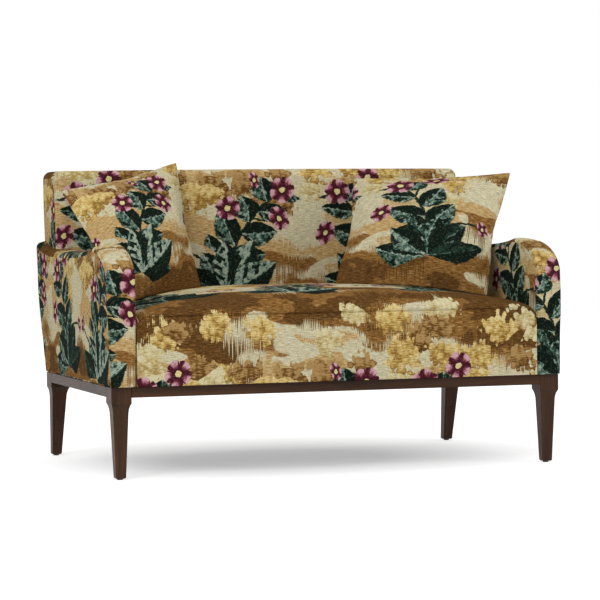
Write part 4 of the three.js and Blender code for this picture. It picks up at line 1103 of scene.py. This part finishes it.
def blank_cushion(name):
    """Two square panels sewn round their edges, lying almost flat."""
    n, half = CUSHION_CELLS, CUSHION_SIDE / 2
    vertices, faces, cloth, index = [], [], [], {}
    for face in (1, -1):
        for j in range(n + 1):
            for i in range(n + 1):
                key = point_key(i, j, face)
                if key in index:
                    continue
                u, v = 2 * i / n - 1, 2 * j / n - 1
                index[key] = len(vertices)
                vertices.append((half * u, half * v, face * FLAT_PUFF * (1 - u * u) * (1 - v * v)))
    for face in (1, -1):
        for j in range(n):
            for i in range(n):
                corners = [(i, j), (i + 1, j), (i + 1, j + 1), (i, j + 1)]
                if face < 0:
                    corners.reverse()
                faces.append([index[point_key(a, b, face)] for a, b in corners])
                cloth.extend((face * (a / n - 0.5) * CUSHION_SIDE, (b / n - 0.5) * CUSHION_SIDE)
                             for a, b in corners)
    mesh = bpy.data.meshes.new(name)
    mesh.from_pydata(vertices, [], faces)
    mesh.uv_layers.new(name="cloth").data.foreach_set("uv", np.array(cloth, np.float32).ravel())
    return mesh


def plump(mesh):
    """Fills the sewn panels under pressure, so that the sides draw in and the edges pucker."""
    points = np.array([v.co for v in mesh.vertices])
    model = stand("plump", mesh.copy())
    filling = model.modifiers.new("filling", "CLOTH").settings
    for name, value in FILLING.items():
        setattr(filling, name, value)
    filling.effector_weights.gravity = 0.0
    scene = bpy.context.scene
    for number in range(1, FILLING_FRAMES + 1):
        scene.frame_set(number)
    graph = bpy.context.evaluated_depsgraph_get()
    settled = model.evaluated_get(graph).data
    points = np.array([v.co for v in settled.vertices])
    bpy.data.objects.remove(model)
    scene.frame_set(1)
    return points


def gather_rim(flat, points, seed):
    """Draws the sides in as the filling did, and gathers the seam in uneven waves about 30 mm long.

    flat is each point's place on the flat panel, from -1 to 1. Gives its new place, and the seam's small
    waves in front of and behind it.
    """
    reach = np.abs(points[:, :2]).max(axis=0)
    drawn = flat + DRAW_IN_SHARE * (points[:, :2] / reach - flat)
    rim = np.exp(-(1.0 - np.abs(flat).max(axis=1)) * CUSHION_SIDE / 2 / GATHER_REACH)
    sheet = np.column_stack([flat * CUSHION_SIDE / 2, np.sign(points[:, 2]) * 0.02])
    waves = GATHER_DEPTH * rim * ripple(sheet, GATHER_SIZE, seed)
    rim_wave = RIM_WAVE * rim * ripple(sheet * np.array([1.0, 1.0, 0.0]), RIM_WAVE_SIZE, 11.0)
    return drawn * (1.0 + rim_wave)[:, None], waves[:, None]


def lean(corners, drawn, thick):
    """Sets the cushion between four corners and thickens it square to the plane through them."""
    top_left, top_right, bottom_right, bottom_left = (np.array(c) for c in corners)
    u, v = ((drawn[:, k:k + 1] * RIM_STRETCH + 1) / 2 for k in (0, 1))
    bottom = bottom_left + (bottom_right - bottom_left) * u
    top = top_left + (top_right - top_left) * u
    across = (top_right - top_left) * v + (bottom_right - bottom_left) * (1 - v)
    normal = np.cross(across, top - bottom)
    normal /= np.linalg.norm(normal, axis=1, keepdims=True)
    return bottom + (top - bottom) * v + normal * thick


def clear_of_settee(points):
    """Presses the cushion flat where it lies against the seat, the back and the arms."""
    x, y, z = points[:, 0], points[:, 1], points[:, 2]
    under = (np.abs(x) < ARM_INNER_X) & (y < back_front_y(z))
    z[:] = np.where(under, np.maximum(z, seat_top_z(x, y) + REST_GAP), z)
    behind = (np.abs(x) < BACK_HALF_WIDTH + BESIDE_BACK) & (z < BACK_TOP)
    y[:] = np.where(behind, np.minimum(y, back_front_y(z) - REST_GAP), y)
    top = arm_top_z(y)
    sink = top + REST_GAP - z
    push = np.abs(x) - (ARM_INNER_X - REST_GAP)
    inside = (push > 0) & (sink > 0) & (np.abs(x) < ARM_OUTER_X + BESIDE_ARM)
    lift = inside & (sink < push)
    z[:] = np.where(lift, top + REST_GAP, z)
    x[:] = np.where(inside & ~lift, np.sign(x) * (ARM_INNER_X - REST_GAP), x)
    return points


def make_cushion(name, body, corners, shift, nodes):
    """A filled cushion that leans on the back; corners run from its top left one round by the top right."""
    mesh = blank_cushion(name)
    points = plump(mesh)
    flat = np.array([v.co[:2] for v in mesh.vertices]) / (CUSHION_SIDE / 2)
    drawn, waves = gather_rim(flat, points, shift[0] * 20.0)
    thick = points[:, 2:3] * CUSHION_HALF_THICKNESS / np.abs(points[:, 2]).max()
    place_points(mesh, clear_of_settee(lean(corners, drawn, thick + waves)))
    cloth = mesh.uv_layers["cloth"].data
    uv = np.zeros(len(mesh.loops) * 2, np.float32)
    cloth.foreach_get("uv", uv)
    cloth.foreach_set("uv", (uv.reshape(-1, 2) + np.array(shift, np.float32)).ravel())
    mesh.materials.append(tapestry)
    for face in mesh.polygons:
        face.use_smooth = True
    piece = stand(name, mesh)
    rounding = piece.modifiers.new("rounding", "SUBSURF")
    rounding.levels = rounding.render_levels = 1
    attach(piece, body)
    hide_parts(*nodes)


make_cushion(
    "left_scatter_cushion", "cushion_left",
    ((-0.673, 0.052, 0.798), (-0.268, 0.272, 0.882), (-0.272, 0.002, 0.503), (-0.574, -0.196, 0.463)),
    (0.21, 0.15), ("left_cushion_cover", "left_cushion_insert"))
make_cushion(
    "right_scatter_cushion", "cushion_right",
    ((0.290, 0.260, 0.829), (0.678, -0.068, 0.839), (0.516, -0.276, 0.474), (0.117, -0.068, 0.512)),
    (0.56, 0.15), ("right_cushion_cover", "right_cushion_insert"))

# Finishes of the frame parts that stay as they are

EASED_EDGE, EASED_EDGE_ANGLE = 0.0012, math.radians(38)

wood_across, wood_fore, wood_upright = (
    make_stained_wood("walnut_stained_beech_" + run, axis)
    for axis, run in enumerate(("across", "fore_and_aft", "upright")))
finishes = {
    # Polythene, injection moulded: dull black with a fine texture, about 1 mm.
    "glide_plastic": make_plain(
        "moulded_black_polythene", "#222120", "#191817", (900, 900, 900), roughness=0.50, depth=0.0001),
    # Beech, planed and left bare: pale, with streaks 3 to 5 mm wide, coarser than its real flecks of 1 mm.
    "corner_block_wood": make_plain(
        "planed_beech_block", "#cdaa79", "#b58d5d", (30, 300, 300), roughness=0.62, depth=0.0002),
    "frame_wood": make_plain(
        "planed_beech_frame", "#d0b084", "#b68f60", (24, 220, 220), roughness=0.62, depth=0.0002),
    # Birch plywood, sanded: pale, with its plies as lines 4 mm apart through the board's thickness.
    "arm_plywood": make_plain(
        "birch_plywood", "#d6b98c", "#bd9767", (260, 20, 20), roughness=0.60, depth=0.0002),
    # Polypropylene lining, spunbond: a dead black felt-like sheet, its bonding points 1.4 mm apart.
    "lining": make_plain(
        "spunbond_lining_cloth", "#2b2b2e", "#1b1b1e", (700, 700, 700), roughness=0.92, depth=0.0002,
        sheen=0.1),
    # Spring steel, drawn: bare grey metal with lines from the die, 1 mm apart where real ones are finer.
    "spring_wire": make_plain(
        "drawn_spring_steel", "#7c7f84", "#5c5f64", (60, 900, 900), roughness=0.34, depth=0.0001,
        metallic=1.0),
    # Wool felt, pressed: matt grey with a soft pile in tufts of 2 mm.
    "felt": make_plain(
        "pressed_wool_felt", "#9a968e", "#77736c", (500, 500, 500), roughness=0.97, depth=0.0006,
        sheen=0.2),
    # Elastic webbing, woven: dark grey with a close rib, 1.2 mm across and 3 mm high.
    "webbing": make_plain(
        "woven_elastic_webbing", "#3f3f43", "#2b2b2e", (800, 800, 300), roughness=0.86, depth=0.0004),
    # Polyurethane foam, cut: cream, matt and open-celled, its cells about 1 mm.
    "foam": make_plain(
        "polyurethane_foam", "#efe6cd", "#d8cba8", (900, 900, 900), roughness=0.98, depth=0.0005),
}


def wood_for(node_name):
    """The stained wood whose grain runs along the part."""
    if node_name.endswith("leg"):
        return wood_upright
    return wood_across if node_name in ("front_base_rail", "rear_base_rail") else wood_fore


slot_of = {part["node"]: part["material_slot"] for part in frame["record"]["subparts"]}
for node_name, node in frame["nodes"].items():
    if node.hide_render:
        continue
    stained = slot_of[node_name] == "walnut_wood"
    if stained:
        edge = node.modifiers.new("eased_edges", "BEVEL")
        edge.width, edge.segments, edge.limit_method = EASED_EDGE, 2, "ANGLE"
        edge.angle_limit = EASED_EDGE_ANGLE
    node.data.materials.clear()
    node.data.materials.append(wood_for(node_name) if stained else finishes[slot_of[node_name]])

# Camera, light and floor

# The camera stands in front and to the left, far off, and looks almost level. Its place and angles were
# worked out from the leg tips, the base rails and the top line of the back in the photograph.
CAMERA_PLACE = (-2.37616, -7.61435, 0.73572)
CAMERA_TURN, CAMERA_TILT, CAMERA_ROLL = (math.radians(a) for a in (17.5382, 1.9309, -0.6532))
SENSOR_WIDTH, LENS = 36.0, 162.0
WHITE = (1.0, 1.0, 1.0, 1.0)
ROOM_LIGHT, SEEN_WHITE = 0.60, 1.0
FLOOR_HALF_SIDE = 9.0
PAPER_SHADE, PAPER_SHADE_SEEN = 0.80, 0.62
# The floor's glow is weaker in an ellipse under the object, which paints a shadow on the floor there.
PAINTED_SHADOW_HALF_WIDTH, PAINTED_SHADOW_HALF_DEPTH, PAINTED_SHADOW_SHIFT = 0.89, 0.78, (0.05, 0.01, 0.0)
PAINTED_SHADOW_START, PAINTED_SHADOW_END, GLOW_IN_PAINTED_SHADOW, GLOW_AROUND = 0.35, 1.15, 0.38, 0.78

camera = stand("camera", bpy.data.cameras.new("camera"))
camera.data.sensor_width, camera.data.lens, camera.data.clip_end = SENSOR_WIDTH, LENS, 100.0
camera.matrix_world = (
    Matrix.Translation(CAMERA_PLACE) @ Matrix.Rotation(-CAMERA_TURN, 4, "Z")
    @ Matrix.Rotation(math.pi / 2 - CAMERA_TILT, 4, "X") @ Matrix.Rotation(CAMERA_ROLL, 4, "Z"))
bpy.context.scene.camera = camera


def hang_lamp(name, place, target, size, power):
    """A square softbox with its side in metres and its power in watts."""
    data = bpy.data.lights.new(name, "AREA")
    data.shape, data.size, data.energy = "SQUARE", size, power
    lamp = stand(name, data)
    lamp.location = place
    lamp.rotation_euler = (Vector(target) - Vector(place)).to_track_quat("-Z", "Y").to_euler()


hang_lamp("key_softbox", place=(-3.6, -4.4, 4.1), target=(0.0, 0.0, 0.5), size=3.3, power=184)
hang_lamp("fill_softbox", place=(4.5, -3.9, 2.4), target=(0.0, 0.0, 0.4), size=3.6, power=70)
hang_lamp("top_softbox", place=(0.2, 0.6, 3.6), target=(0.0, 0.0, 0.4), size=3.0, power=12)


def seen_by_eye(tree):
    """1 for what the camera sees, also off glossy surfaces and through clear ones, else 0."""
    rays = add(tree, "ShaderNodeLightPath", out=None)
    seen = add(tree, MATH, {0: rays.outputs["Is Camera Ray"], 1: rays.outputs["Is Glossy Ray"]},
               operation="MAXIMUM")
    return add(tree, MATH, {0: seen, 1: rays.outputs["Is Transmission Ray"]}, operation="MAXIMUM")


def make_room():
    """An even white room that gives soft light from all round and looks pure white."""
    world = bpy.data.worlds.new("studio")
    world.use_nodes = True
    world.node_tree.nodes.clear()
    level = add(world.node_tree, "ShaderNodeMapRange",
                {0: seen_by_eye(world.node_tree), 3: ROOM_LIGHT, 4: SEEN_WHITE})
    sky = add(world.node_tree, "ShaderNodeBackground", {"Color": WHITE, "Strength": level})
    add(world.node_tree, "ShaderNodeOutputWorld", {"Surface": sky})
    bpy.context.scene.world = world


def make_floor():
    """Floor of white seamless paper, smooth and matt: bright to the eye, with the shadow kept faint on it.

    Its glow is weaker in a pool under the object, which paints a shadow there on top of the real one.
    """
    work = bmesh.new()
    bmesh.ops.create_grid(work, x_segments=24, y_segments=24, size=FLOOR_HALF_SIDE)
    mesh = bpy.data.meshes.new("floor")
    work.to_mesh(mesh)
    work.free()
    material, tree = blank_material("white_seamless_paper")
    seen = seen_by_eye(tree)
    shade = add(tree, "ShaderNodeMapRange", {0: seen, 3: PAPER_SHADE, 4: PAPER_SHADE_SEEN})
    paper = add(tree, "ShaderNodeBsdfDiffuse", {"Color": shade})
    place = add(tree, "ShaderNodeTexCoord", out="Object")
    # Painted shadow: the glow is weakest in the middle of an ellipse under the object and rises to its full
    # level around it.
    pool = (1 / PAINTED_SHADOW_HALF_WIDTH, 1 / PAINTED_SHADOW_HALF_DEPTH, 0.0)
    away = add(tree, VECTOR_MATH, {0: place, 1: pool, 2: PAINTED_SHADOW_SHIFT}, operation="MULTIPLY_ADD")
    away = add(tree, VECTOR_MATH, {0: away}, out="Value", operation="LENGTH")
    glow = add(tree, "ShaderNodeMapRange",
               {0: away, 1: PAINTED_SHADOW_START, 2: PAINTED_SHADOW_END, 3: GLOW_IN_PAINTED_SHADOW, 4: GLOW_AROUND})
    glow = add(tree, MATH, {0: seen, 1: glow}, operation="MULTIPLY")
    glow = add(tree, "ShaderNodeEmission", {"Color": WHITE, "Strength": glow})
    surface = add(tree, "ShaderNodeAddShader", {0: paper, 1: glow})
    add(tree, "ShaderNodeOutputMaterial", {"Surface": surface})
    mesh.materials.append(material)
    stand("floor", mesh)


make_room()
make_floor()
bpy.context.scene.view_settings.view_transform = "Standard"
